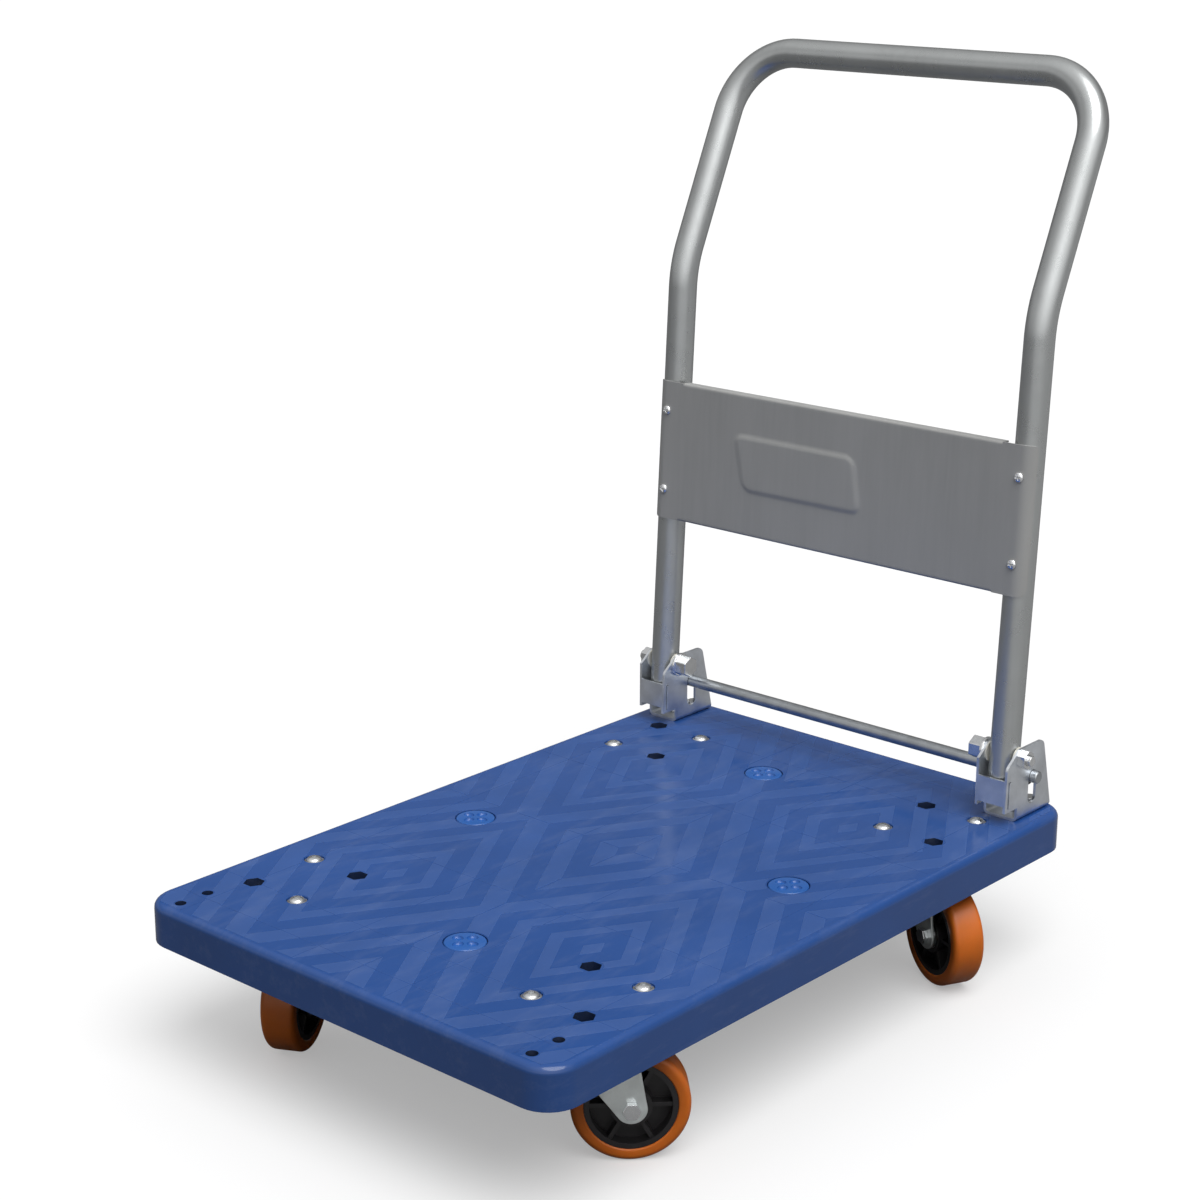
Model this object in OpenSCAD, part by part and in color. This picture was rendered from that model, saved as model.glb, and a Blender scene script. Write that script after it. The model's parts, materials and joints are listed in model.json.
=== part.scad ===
// Flatbed platform truck: a ribbed plastic deck on four swivel casters, with a tubular
// push handle that folds forward over the deck once the foot rod behind it is pressed.
// +Z is up, +Y is the handle end, the origin is on the floor under the deck's middle.

/* [Deck] */
// Width of the deck, side to side
deck_w = 480; // [470:2:500]
// Length of the deck, front to rear
deck_l = 720; // [716:2:740]
// Height of the skirt round the deck
skirt_h = 37; // [34:1:40]
// Thickness of the deck's top wall
top_t = 4; // [3:0.5:5]
// Thickness of the skirt and of the pad walls
wall_t = 3.5; // [3:0.5:5]
// Plan radius of the deck's corners
corner_r = 30; // [24:1:36]
// Radius of the rounded top edge
edge_r = 7; // [4:1:9]
// Depth of the caster pads below the deck's top face
pad_h = 25; // [24:1:28]

/* [Casters] */
// Outside diameter of a wheel
wheel_d = 97; // [92:1:98]
// Width of the tread
wheel_w = 31; // [28:1:32]
// Distance of each swivel axis from the deck's centreline
caster_x = 165.5; // [160:0.5:166]
// Distance of each swivel axis from the middle of the deck's length
caster_y = 236.5; // [230:0.5:238]
// Horizontal distance from the swivel axis back to the axle
trail = 34; // [30:1:36]
// Swivel angle of the front left caster
yaw_front_left = -62; // [-180:1:180]
// Swivel angle of the front right caster
yaw_front_right = 45; // [-180:1:180]
// Swivel angle of the rear left caster
yaw_rear_left = 60; // [-180:1:180]
// Swivel angle of the rear right caster
yaw_rear_right = -26; // [-180:1:180]

/* [Handle] */
// Outside diameter of the handle tube
tube_d = 28; // [27:0.5:28]
// Wall of the handle tube
tube_t = 1.5; // [1.2:0.1:2]
// Distance of each leg's centre from the centreline
leg_x = 205.5; // [204:0.5:206]
// Height of the top bar's centre above the deck
handle_h = 671; // [640:1:700]
// Height of the kink in the legs above the deck
kink_h = 468; // [440:1:490]
// Backward lean of the legs below the kink
lean = 3.1; // [2.8:0.1:3.2]
// Backward lean of the handle above the kink
upper_lean = 24.2; // [15:0.1:30]
// Centreline radius of the two top bends
bend_r = 63; // [50:1:80]
// Centreline radius of the kinks
kink_r = 120; // [80:5:160]

/* [Back panel] */
// Height of the sheet panel
panel_h = 139; // [120:1:150]
// Height of the panel's lower edge above the deck
panel_low = 215; // [200:1:240]
// Sheet thickness of the panel
panel_t = 1.5; // [1:0.1:2]

/* [Hinge and lock] */
// Height of the fold pivot above the deck
pivot_h = 62; // [61:0.5:63]
// Distance of the fold pivot behind the middle of the deck
pivot_y = 295; // [294:0.5:295]
// Sheet thickness of the brackets
sheet_t = 2.5; // [2:0.1:2.5]
// Diameter of the foot rod
rod_d = 12; // [10:0.5:12]
// How far the foot rod travels down when it is pressed
rod_travel = 19; // [18:1:20]

/* [Hidden] */
$fn = 48;

// Small overshoot that keeps a cut clear of the face it starts from
eps = 0.5;
// Radial running clearance of a shaft in its hole
run_c = 0.05;
// How far, and how much thinner, a straight pipe seats in the wall of a bend
seat_in = 0.5;
seat_c = 0.02;

// Heights, from the floor up
wheel_r = wheel_d / 2;
caster_h = wheel_d + 21;
deck_z = caster_h + pad_h;
skirt_z = deck_z - skirt_h;
roof_z = deck_z - top_t;

// Deck details
rib_t = 2.5;
rib_x = [0, 55, 138];
rib_y = [0, 135, 269];
plug_r = 18;
plug_recess_r = 19;
plug_recess_h = 3;
plug_shank_r = 12;
plug_boss_h = 14;
plug_places = [[-156, -35], [29, -235.5], [-29, 235.5], [156, 35]];
small_hole_r = 5;
small_hole_x = 205.5;
small_hole_y = [313.5, 343];
boss_r = 9.5;

// Caster fixings: M8, button heads on one diagonal, hexagon heads in pockets on the other
hole_dx = 28;
hole_dy = 35;
m8_r = 4;
m8_hole_r = 4.25;
m8_head_af = 13;
m8_head_h = 5.3;
m8_nut_h = 6.5;
button_r = 7;
button_h = 4;
recess_r = 9.25;
recess_h = 3.2;
pocket_af = 16.5;
pocket_h = 14;
column_r = 12;

// Caster parts
plate_t = 3;
plate_w = 76;
plate_l = 92;
plate_r = 8;
crown_t = 3;
crown_r = 30;
crown_z = caster_h - plate_t - 8;
race_in = 17;
race_out = 27;
ball_pitch_r = 22;
ball_r = 3.1;
ball_n = 16;
ball_z = crown_z + 4;
race_h = 2.8;
pin_r = 6;
pin_head_r = 10;
pin_head_h = 4;
pin_nut_h = 5;
fork_gap = wheel_w + 4.2;
fork_t = 2.5;
fork_end_r = 13;
crown_back = 22;
crown_front = 38;
sleeve_r = 5;
bearing_r = 13;
bearing_w = 8;
boss_out_r = 17;
rim_in_r = 33.5;
rim_out_r = 38;
rim_w = 29;
web_t = 5;
spoke_n = 6;
spoke_t = 3.5;
spoke_w = 24;
tread_edge_r = 5;
corners = [[-1, -1], [1, -1], [-1, 1], [1, 1]];

// Handle details, measured from the pivot along the lower legs
leg_len = (kink_h - pivot_h) / cos(lean);
kink_a = upper_lean - lean;
kink_cut = kink_r * tan(kink_a / 2);
upper_len = (handle_h - kink_h) / cos(upper_lean);
leg_end = 29.5;
bevel_a = 36.2;
bevel_z = -19.5;
tube_r = tube_d / 2;
panel_z = (panel_low - pivot_h) / cos(lean);
panel_wrap_a = 60;
panel_lip = 10;
panel_lip_x = 186;
panel_corner_r = 8;
panel_screw_dz = 80;
screw_r = 2.4;
screw_head_r = 4.5;
screw_head_h = 2.6;
screw_len = 12;
emboss_h = 0.8;
emboss = [[-118, 98], [24, 98], [35, 46], [-97, 42]];

// Hinge bracket, measured from the pivot axis (y) and the deck (z)
bracket_w = 36;
base_front = -3;
base_rear = 55;
ear_front = -24;
ear_top = 71.5;
ear_knee = 58;
ear_low_r = 3;
ear_knee_r = 6;
ear_top_r = 8.5;
ear_top_front = 0;
ear_top_rear = 31;
notch_z = 14;
strap_t = sheet_t;
strap_low = 18;
strap_h = 25;
strap_y = -tube_r - 2.4 - strap_t;
slit_c = 0.7;
foot_h = 0.4;
foot_c = 0.6;
rod_dy = 21;
rod_dz = 23;
rod_r = rod_d / 2;
slot_r = rod_r + 0.5;
rod_len = 2 * (leg_x + bracket_w / 2 + 7);
clip_r = 9;
clip_t = 1;
m6_r = 3;
m6_hole_r = 3.25;
m6_head_r = 7;
m6_head_h = 4;
m6_nut_af = 10;
m6_nut_h = 5;
pivot_r = 5;
pivot_flange_r = 12;
pivot_flange_h = 3;
pivot_head_af = 19;
pivot_head_h = 13;
pivot_nut_af = 16;
pivot_nut_h = 8;
pivot_tip = 4;
washer_r = 10;
washer_t = (bracket_w - 2 * sheet_t - tube_d) / 2 - 0.1;

// Foot rod springs
spring_r = 4;
spring_wire_r = 0.5;
spring_turns = 6.5;
spring_steps = 16;
spring_sides = 8;
spring_z = deck_z + sheet_t + m6_head_h + spring_wire_r + 0.1;
spring_h = pivot_h - rod_dz - rod_r - sheet_t - m6_head_h - 2 * spring_wire_r - 0.2;

// ---------- Shared shapes ----------

// Rectangle with rounded corners, centred
module round_rect(w, l, r) {
  square([w - 2 * r, l], center = true);
  square([w, l - 2 * r], center = true);
  for (c = corners) translate([c[0] * (w / 2 - r), c[1] * (l / 2 - r)]) circle(r);
}

// Hexagonal prism of a given width across its flats, standing on z = 0
module hexagon(af, h) {
  cylinder(r = af / 2 / cos(30), h = h, $fn = 6);
}

// Hexagon nut standing on z = 0
module nut(af, h, bore_r) {
  difference() {
    hexagon(af, h);
    translate([0, 0, -eps]) cylinder(r = bore_r, h = h + 2 * eps);
  }
}

// Turns a shape that stands along +Z so that it points along +X
module along_x() {
  rotate([0, 90, 0]) children();
}

// Puts a shape at each caster
module each_caster() {
  for (c = corners) translate([c[0] * caster_x, c[1] * caster_y, 0]) children();
}

// The two diagonals of a caster's bolt pattern; the front left caster has them swapped
module on_diagonal(kind) {
  for (c = corners) {
    swap = (c[0] < 0 && c[1] < 0) ? -1 : 1;
    side = kind * swap;
    for (s = [-1, 1]) {
      translate([c[0] * caster_x + s * hole_dx * side, c[1] * caster_y + s * hole_dy, 0])
        children();
    }
  }
}

// ---------- Deck ----------

// One corner of the deck's outer shape, with the rounded top edge
module deck_corner() {
  edge_steps = 6;
  arc = [for (i = [0 : edge_steps])
    let (a = 90 * i / edge_steps)
    [corner_r - edge_r + edge_r * cos(a), deck_z - edge_r + edge_r * sin(a)]];
  rotate_extrude($fn = 32) polygon(concat([[0, skirt_z], [corner_r, skirt_z]], arc, [[0, deck_z]]));
}

module deck_shell() {
  difference() {
    hull() {
      for (c = corners) {
        translate([c[0] * (deck_w / 2 - corner_r), c[1] * (deck_l / 2 - corner_r), 0]) deck_corner();
      }
    }
    translate([0, 0, skirt_z - eps]) linear_extrude(skirt_h - top_t + eps)
      round_rect(deck_w - 2 * wall_t, deck_l - 2 * wall_t, corner_r - wall_t);
  }
}

// Grid of stiffening ribs under the top wall
module deck_ribs() {
  rib_h = roof_z - caster_h + eps;
  for (x = rib_x, s = [-1, 1]) {
    translate([s * x - rib_t / 2, -deck_l / 2 + wall_t / 2, caster_h]) cube([rib_t, deck_l - wall_t, rib_h]);
  }
  for (y = rib_y, s = [-1, 1]) {
    translate([-deck_w / 2 + wall_t / 2, s * y - rib_t / 2, caster_h]) cube([deck_w - wall_t, rib_t, rib_h]);
  }
}

// Frame and bolt columns that a caster plate is clamped to
module caster_pad() {
  pad_rise = roof_z - caster_h + eps;
  difference() {
    translate([0, 0, caster_h]) linear_extrude(pad_rise) round_rect(plate_w + 14, plate_l + 14, plate_r);
    translate([0, 0, caster_h - eps]) linear_extrude(pad_rise + 2 * eps)
      round_rect(plate_w + 14 - 2 * wall_t, plate_l + 14 - 2 * wall_t, plate_r - wall_t);
  }
  for (c = corners) {
    translate([c[0] * hole_dx, c[1] * hole_dy, caster_h]) cylinder(r = column_r, h = pad_rise);
  }
}

// Clear space over the middle of a caster plate, for the kingpin's head
module pad_hollow() {
  translate([-hole_dx + column_r, -hole_dy + column_r, caster_h - eps])
    cube([2 * (hole_dx - column_r), 2 * (hole_dy - column_r), roof_z - caster_h + eps]);
}

module boss(r, h) {
  translate([0, 0, roof_z - h]) cylinder(r = r, h = h + eps);
}

// Every place where a small hole or a bracket bolt goes through the deck
module at_small_holes() {
  for (x = [-1, 1], end = [-1, 1], y = small_hole_y) {
    translate([x * small_hole_x, end * y, 0]) children();
  }
}

// Shallow seat in the deck's top, open at the rear, that a bracket's foot stands in
module bracket_seat() {
  seat_w = bracket_w + 2 * foot_c;
  seat_front = pivot_y + base_front - foot_c;
  translate([-seat_w / 2, seat_front, deck_z - foot_h]) cube([seat_w, deck_l / 2 - seat_front + 1, foot_h + eps]);
}

module deck_cuts() {
  depth = deck_z - skirt_z + 2 * eps;
  for (s = [-1, 1]) translate([s * leg_x, 0, 0]) bracket_seat();
  on_diagonal(1) {
    translate([0, 0, skirt_z - eps]) cylinder(r = m8_hole_r, h = depth);
    translate([0, 0, deck_z - recess_h]) cylinder(r = recess_r, h = recess_h + eps);
  }
  on_diagonal(-1) {
    translate([0, 0, skirt_z - eps]) cylinder(r = m8_hole_r, h = depth);
    translate([0, 0, deck_z - pocket_h]) hexagon(pocket_af, pocket_h + eps);
  }
  for (p = plug_places) {
    translate([p[0], p[1], skirt_z - eps]) cylinder(r = plug_shank_r + 0.2, h = depth);
    translate([p[0], p[1], deck_z - plug_recess_h]) cylinder(r = plug_recess_r, h = plug_recess_h + eps);
  }
  for (x = [-1, 1], y = small_hole_y) {
    translate([x * small_hole_x, -y, skirt_z - eps]) cylinder(r = small_hole_r, h = depth);
    translate([x * small_hole_x, y, skirt_z - eps]) cylinder(r = m6_hole_r, h = depth);
  }
}

module deck() {
  color("#2448a8") difference() {
    union() {
      deck_shell();
      difference() {
        deck_ribs();
        each_caster() pad_hollow();
      }
      each_caster() caster_pad();
      for (p = plug_places) translate([p[0], p[1], 0]) boss(plug_recess_r + 3, plug_boss_h);
      at_small_holes() boss(boss_r, roof_z - caster_h);
    }
    deck_cuts();
  }
}

// Round caps pressed into the deck, with four finger pockets each
module deck_plugs() {
  pocket_r = 3.6;
  pocket_at = 9;
  color("#2f6ad0") for (p = plug_places) translate([p[0], p[1], 0]) {
    difference() {
      union() {
        translate([0, 0, deck_z - plug_recess_h + run_c]) cylinder(r = plug_r, h = plug_recess_h);
        translate([0, 0, deck_z - plug_boss_h]) cylinder(r = plug_shank_r, h = plug_boss_h - 1);
      }
      translate([0, 0, deck_z - plug_boss_h - eps]) cylinder(r = plug_shank_r - 2, h = plug_boss_h - 3);
      for (a = [0 : 90 : 270]) rotate([0, 0, a]) translate([pocket_at, 0, deck_z - 1.2]) cylinder(r = pocket_r, h = 3);
    }
  }
}

// ---------- Caster fixings ----------

module fixing_shank(z_top) {
  low = caster_h - plate_t - m8_nut_h - 1;
  translate([0, 0, low]) cylinder(r = m8_r, h = z_top - low);
}

// Button-head screws with a hexagon socket, seen on the deck's top face
module caster_screws() {
  seat = deck_z - recess_h;
  color("#c9cdd2") on_diagonal(1) difference() {
    union() {
      fixing_shank(seat + 0.1);
      translate([0, 0, seat + 0.05]) cylinder(r1 = button_r, r2 = button_r * 0.6, h = button_h);
    }
    translate([0, 0, seat + button_h - 2.2]) hexagon(5, 3);
  }
}

// Hexagon-head bolts at the bottom of the deck's hexagonal pockets
module pocket_bolts() {
  seat = deck_z - pocket_h + 0.05;
  color("#9aa0a6") on_diagonal(-1) {
    fixing_shank(seat + 0.1);
    translate([0, 0, seat]) hexagon(m8_head_af, m8_head_h);
  }
}

module caster_nuts() {
  color("#b4b8bd") for (d = [-1, 1]) on_diagonal(d)
    translate([0, 0, caster_h - plate_t - m8_nut_h - 0.05]) nut(m8_head_af, m8_nut_h, m8_r + run_c);
}

// ---------- Casters ----------
// A caster is drawn round its swivel axis with the wheel trailing towards +X

module at_caster(side, end, yaw) {
  translate([side * caster_x, end * caster_y, 0]) rotate([0, 0, yaw]) children();
}

// Annular race with a ball groove, between two heights
module race(z_low, z_high) {
  rotate_extrude() difference() {
    translate([race_in, z_low]) square([race_out - race_in, z_high - z_low]);
    translate([ball_pitch_r, ball_z]) circle(ball_r + 0.1);
  }
}

module top_plate() {
  z0 = caster_h - plate_t;
  color("#b9bec4") difference() {
    union() {
      translate([0, 0, z0]) linear_extrude(plate_t) round_rect(plate_w, plate_l, plate_r);
      race(z0 - race_h, z0 + eps);
    }
    for (c = corners) translate([c[0] * hole_dx, c[1] * hole_dy, z0 - eps]) cylinder(r = m8_hole_r, h = 2 * plate_t);
    translate([0, 0, z0 - eps]) cylinder(r = pin_r + run_c, h = 2 * plate_t);
  }
}

module kingpin() {
  low = crown_z - crown_t - pin_nut_h - 0.1;
  color("#8e9399") {
    translate([0, 0, low]) cylinder(r = pin_r, h = caster_h - low + 1);
    translate([0, 0, caster_h + 0.05]) cylinder(r1 = pin_head_r, r2 = pin_head_r - 3, h = pin_head_h);
    translate([0, 0, low]) hexagon(2 * pin_head_r, pin_nut_h);
  }
}

module bearing_balls() {
  color("#d8dbe0") for (i = [0 : ball_n - 1]) rotate([0, 0, i * 360 / ball_n])
    translate([ball_pitch_r, 0, ball_z]) sphere(ball_r);
}

// Side view of one fork leg: a taper from the crown to the round axle end
module leg_outline() {
  polygon([
    [-crown_back, crown_z],
    [-crown_back, crown_z - crown_t - 3],
    [trail - fork_end_r * 0.8, wheel_r - fork_end_r * 0.6],
    [trail + fork_end_r, wheel_r],
    [crown_front, crown_z - crown_t - 3],
    [crown_front, crown_z],
  ]);
  translate([trail, wheel_r]) circle(fork_end_r);
}

module fork() {
  half = fork_gap / 2;
  color("#bfc4c9") difference() {
    union() {
      translate([0, 0, crown_z - crown_t]) cylinder(r = crown_r, h = crown_t);
      translate([-crown_back, -half - fork_t, crown_z - crown_t])
        cube([crown_back + crown_front, fork_gap + 2 * fork_t, crown_t]);
      race(crown_z - eps, crown_z + race_h);
      for (y = [-half, half + fork_t]) translate([0, y, 0]) rotate([90, 0, 0]) linear_extrude(fork_t) leg_outline();
    }
    translate([0, 0, crown_z - crown_t - eps]) cylinder(r = pin_r + run_c, h = 2 * crown_t);
    translate([trail, 0, wheel_r]) rotate([90, 0, 0])
      cylinder(r = m8_r + run_c, h = fork_gap + 3 * fork_t, center = true);
  }
}

// Puts a shape turned about +Z on the axle, with its +Z towards the caster's -Y side
module on_axle() {
  translate([trail, 0, wheel_r]) rotate([90, 0, 0]) children();
}

module axle_bolt() {
  out = fork_gap / 2 + fork_t + 0.05;
  color("#c4c8cd") on_axle() {
    translate([0, 0, -out - m8_nut_h - 3]) cylinder(r = m8_r, h = 2 * out + m8_nut_h + 4);
    translate([0, 0, out]) hexagon(m8_head_af, m8_head_h);
  }
}

module axle_nut() {
  out = fork_gap / 2 + fork_t + 0.05;
  color("#c4c8cd") on_axle() translate([0, 0, -out - m8_nut_h]) nut(m8_head_af, m8_nut_h, m8_r + run_c);
}

module axle_sleeve() {
  color("#8e9399") on_axle() difference() {
    cylinder(r = sleeve_r, h = fork_gap - 0.2, center = true);
    cylinder(r = m8_r + run_c, h = fork_gap + 1, center = true);
  }
}

module hub() {
  bore_r = bearing_r + run_c;
  color("#1b1b1d") on_axle() {
    rotate_extrude() {
      translate([rim_in_r, -rim_w / 2]) square([rim_out_r - rim_in_r, rim_w]);
      translate([bore_r, -wheel_w / 2]) square([boss_out_r - bore_r, wheel_w]);
      translate([boss_out_r - 1, -web_t / 2]) square([rim_in_r - boss_out_r + 2, web_t]);
    }
    for (i = [0 : spoke_n - 1]) rotate([0, 0, i * 360 / spoke_n])
      translate([boss_out_r - 1, -spoke_t / 2, -spoke_w / 2]) cube([rim_in_r - boss_out_r + 2, spoke_t, spoke_w]);
  }
}

module tread() {
  inner = rim_out_r + 0.05;
  color("#e0701e") on_axle() rotate_extrude($fn = 96) {
    translate([inner, -wheel_w / 2]) square([wheel_r - tread_edge_r - inner, wheel_w]);
    translate([inner, -wheel_w / 2 + tread_edge_r]) square([wheel_r - inner, wheel_w - 2 * tread_edge_r]);
    for (s = [-1, 1]) translate([wheel_r - tread_edge_r, s * (wheel_w / 2 - tread_edge_r)]) circle(tread_edge_r);
  }
}

// Two ball bearings, each with a shallow groove round both faces
module bearings() {
  groove = 0.6;
  color("#d0d3d8") on_axle() for (s = [-1, 1]) translate([0, 0, s * (wheel_w - bearing_w) / 2])
    rotate_extrude() difference() {
      translate([sleeve_r + run_c, -bearing_w / 2]) square([bearing_r - sleeve_r - run_c, bearing_w]);
      for (f = [-1, 1]) translate([sleeve_r + 2.5, f * bearing_w / 2 - groove])
        square([bearing_r - sleeve_r - 5, 2 * groove]);
    }
}

// ---------- Handle ----------

// Drawn upright round the fold pivot, then leaned back
module handle_frame() {
  translate([0, pivot_y, deck_z + pivot_h]) rotate([-lean, 0, 0]) children();
}

// Straight pipe whose ends reach a little way into the walls of the bends next to it
module pipe(len) {
  translate([0, 0, -seat_in]) difference() {
    cylinder(r = tube_r - seat_c, h = len + 2 * seat_in);
    translate([0, 0, -eps]) cylinder(r = tube_r - tube_t + seat_c, h = len + 2 * seat_in + 2 * eps);
  }
}

// Bent pipe that starts upwards at the origin and turns towards +X
module pipe_bend(r, a) {
  translate([r, 0, 0]) rotate([90, 0, 180]) rotate_extrude(angle = a) translate([r, 0]) difference() {
    circle(tube_r);
    circle(tube_r - tube_t);
  }
}

module leg() {
  translate([0, 0, -leg_end]) pipe(leg_end + leg_len - kink_cut);
  translate([0, 0, leg_len - kink_cut]) rotate([0, 0, 90]) pipe_bend(kink_r, kink_a);
  translate([0, 0, leg_len]) rotate([-kink_a, 0, 0]) translate([0, 0, kink_cut])
    pipe(upper_len - kink_cut - bend_r);
}

// Cuts the leg's lower rear corner away, so that the foot rod can slide past it
module bevel() {
  translate([0, tube_r, bevel_z]) rotate([bevel_a, 0, 0]) translate([-tube_d, -3 * tube_d, -2 * tube_d])
    cube([2 * tube_d, 4 * tube_d, 2 * tube_d]);
}

module handle_tube() {
  color("#8f9497") handle_frame() {
    difference() {
      for (s = [-1, 1]) translate([s * leg_x, 0, 0]) leg();
      for (s = [-1, 1]) translate([s * leg_x, 0, 0]) {
        bevel();
        along_x() cylinder(r = pivot_r + run_c, h = 2 * tube_d, center = true);
      }
      at_panel_screws() rotate([90, 0, 0]) cylinder(r = screw_r + 0.1, h = tube_d);
    }
    translate([0, 0, leg_len]) rotate([-kink_a, 0, 0]) translate([0, 0, upper_len]) {
      translate([-leg_x, 0, -bend_r]) pipe_bend(bend_r, 90);
      translate([leg_x, 0, -bend_r]) rotate([0, 0, 180]) pipe_bend(bend_r, 90);
      translate([-leg_x + bend_r, 0, 0]) along_x() pipe(2 * (leg_x - bend_r));
    }
  }
}

module at_panel_screws() {
  for (s = [-1, 1], e = [-1, 1]) translate([s * leg_x, 0, panel_z + panel_h / 2 + e * panel_screw_dz / 2]) children();
}

// Plan section of the panel: a flat sheet whose ends curl back round the legs
module panel_section() {
  inner = tube_r + run_c;
  translate([-leg_x, -inner - panel_t]) square([2 * leg_x, panel_t]);
  for (s = [-1, 1]) translate([s * leg_x, 0]) intersection() {
    difference() {
      circle(inner + panel_t);
      circle(inner);
    }
    polygon([[0, 0], [0, -2 * tube_d], [s * 2 * tube_d * sin(panel_wrap_a), -2 * tube_d * cos(panel_wrap_a)]]);
  }
}

module back_panel() {
  color("#7c8083") handle_frame() translate([0, 0, panel_z]) {
    difference() {
      intersection() {
        linear_extrude(panel_h) panel_section();
        translate([0, tube_d, panel_h / 2]) rotate([90, 0, 0]) linear_extrude(3 * tube_d)
          round_rect(2 * leg_x + 2 * (tube_r + panel_t), panel_h, panel_corner_r);
      }
      translate([0, 0, -panel_z]) at_panel_screws() rotate([90, 0, 0]) cylinder(r = screw_r + 0.1, h = 2 * tube_d);
    }
    for (z = [0, panel_h - panel_t]) translate([-panel_lip_x, -tube_r - run_c - panel_t, z])
      cube([2 * panel_lip_x, panel_lip, panel_t]);
    translate([0, -tube_r - run_c - panel_t / 2, 0]) rotate([90, 0, 0])
      linear_extrude(panel_t / 2 + emboss_h) polygon(emboss);
  }
}

module panel_screws() {
  face = tube_r + 2 * run_c + panel_t;
  color("#d0d3d8") handle_frame() at_panel_screws() rotate([90, 0, 0]) {
    translate([0, 0, face]) cylinder(r1 = screw_head_r, r2 = screw_head_r * 0.6, h = screw_head_h);
    translate([0, 0, face - screw_len]) cylinder(r = screw_r, h = screw_len + 0.5);
  }
}

// ---------- Hinge brackets and foot rod ----------

// Puts a shape, drawn from the pivot's y and the deck's top, on the left or right leg
module at_bracket(side) {
  translate([side * leg_x, pivot_y, deck_z]) children();
}

// Side outline of an ear: rounded top, sloping back, and an overhanging front
module ear_outline() {
  difference() {
    hull() {
      translate([ear_front + ear_low_r, notch_z]) circle(ear_low_r, $fn = 24);
      translate([ear_front + ear_knee_r + 1.5, ear_knee - 4]) circle(ear_knee_r, $fn = 24);
      for (y = [ear_top_front, ear_top_rear]) translate([y, ear_top - ear_top_r]) circle(ear_top_r, $fn = 32);
      translate([base_front, 0]) square([base_rear - base_front, 1]);
    }
    translate([ear_front - 5, -5]) square([base_front - ear_front + 5, notch_z + 5]);
  }
}

// Section across the bracket: a U with rounded bends
module channel_section() {
  bend_out = 2 * sheet_t;
  height = ear_top + 5;
  difference() {
    translate([0, height / 2]) round_rect(bracket_w, height, bend_out);
    translate([0, height / 2 + sheet_t]) round_rect(bracket_w - 2 * sheet_t, height, bend_out - sheet_t);
  }
}

module bracket() {
  ear_x = bracket_w / 2;
  foot_w = bracket_w - 4 * sheet_t;
  color("#c3c8cc") difference() {
    union() {
      difference() {
        intersection() {
          translate([0, base_rear + 5, 0]) rotate([90, 0, 0]) linear_extrude(base_rear - ear_front + 10) channel_section();
          translate([-ear_x - eps, 0, 0]) rotate([90, 0, 90]) linear_extrude(bracket_w + 2 * eps) ear_outline();
        }
        translate([-ear_x - eps, ear_front - eps, -eps]) cube([sheet_t + 2 * eps, strap_y - ear_front + eps, ear_top]);
        translate([ear_x - sheet_t - eps, strap_y - slit_c, strap_low - slit_c])
          cube([sheet_t + 2 * eps, strap_t + 2 * slit_c, strap_h + 2 * slit_c]);
      }
      translate([-ear_x, strap_y, strap_low]) cube([bracket_w + 1, strap_t, strap_h]);
      translate([-foot_w / 2, base_front, -foot_h]) cube([foot_w, base_rear - base_front, foot_h + sheet_t / 2]);
    }
    translate([0, 0, pivot_h]) along_x() cylinder(r = pivot_r + run_c, h = 2 * bracket_w, center = true);
    rotate([90, 0, 90]) translate([0, 0, -bracket_w]) linear_extrude(2 * bracket_w) lock_slot();
    for (y = small_hole_y) translate([0, y - pivot_y, -foot_h - eps]) cylinder(r = m6_hole_r, h = 3 * sheet_t);
  }
}

// Vertical slot that guides the foot rod
module lock_slot() {
  top = pivot_h - rod_dz;
  translate([rod_dy, top]) circle(slot_r);
  translate([rod_dy, top - rod_travel - 1]) circle(slot_r);
  translate([rod_dy - slot_r, top - rod_travel - 1]) square([2 * slot_r, rod_travel + 1]);
}

module bracket_left() {
  at_bracket(-1) bracket();
}

module bracket_right() {
  at_bracket(1) bracket();
}

module at_bracket_bolts() {
  for (s = [-1, 1], y = small_hole_y) translate([s * small_hole_x, y, 0]) children();
}

module bracket_bolts() {
  low = caster_h - m6_nut_h - 2;
  seat = deck_z + sheet_t + 0.05;
  color("#b4b8bd") at_bracket_bolts() {
    translate([0, 0, low]) cylinder(r = m6_r, h = seat - low + 1);
    translate([0, 0, seat]) cylinder(r = m6_head_r, h = m6_head_h);
  }
}

module bracket_nuts() {
  color("#b4b8bd") at_bracket_bolts() translate([0, 0, caster_h - m6_nut_h - 0.05])
    nut(m6_nut_af, m6_nut_h, m6_r + run_c);
}

// Puts a shape that points outwards along +X on both pivots
module at_pivots() {
  for (s = [-1, 1]) translate([s * leg_x, pivot_y, deck_z + pivot_h])
    rotate([0, 0, s > 0 ? 0 : 180]) children();
}

// Flanged pivot bolts: tall heads on the inner side, threaded ends on the outer side
module pivot_bolts() {
  half = bracket_w / 2;
  color("#d4d7db") at_pivots() along_x() {
    translate([0, 0, -half - 1]) cylinder(r = pivot_r, h = 2 * half + 1 + pivot_nut_h + pivot_tip);
    translate([0, 0, -half - 0.05 - pivot_flange_h]) cylinder(r = pivot_flange_r, h = pivot_flange_h);
    translate([0, 0, -half - 0.05 - pivot_flange_h - pivot_head_h]) hexagon(pivot_head_af, pivot_head_h + 0.1);
  }
}

module pivot_nuts() {
  color("#d4d7db") at_pivots() along_x() translate([0, 0, bracket_w / 2 + 0.05])
    nut(pivot_nut_af, pivot_nut_h, pivot_r + run_c);
}

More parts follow.
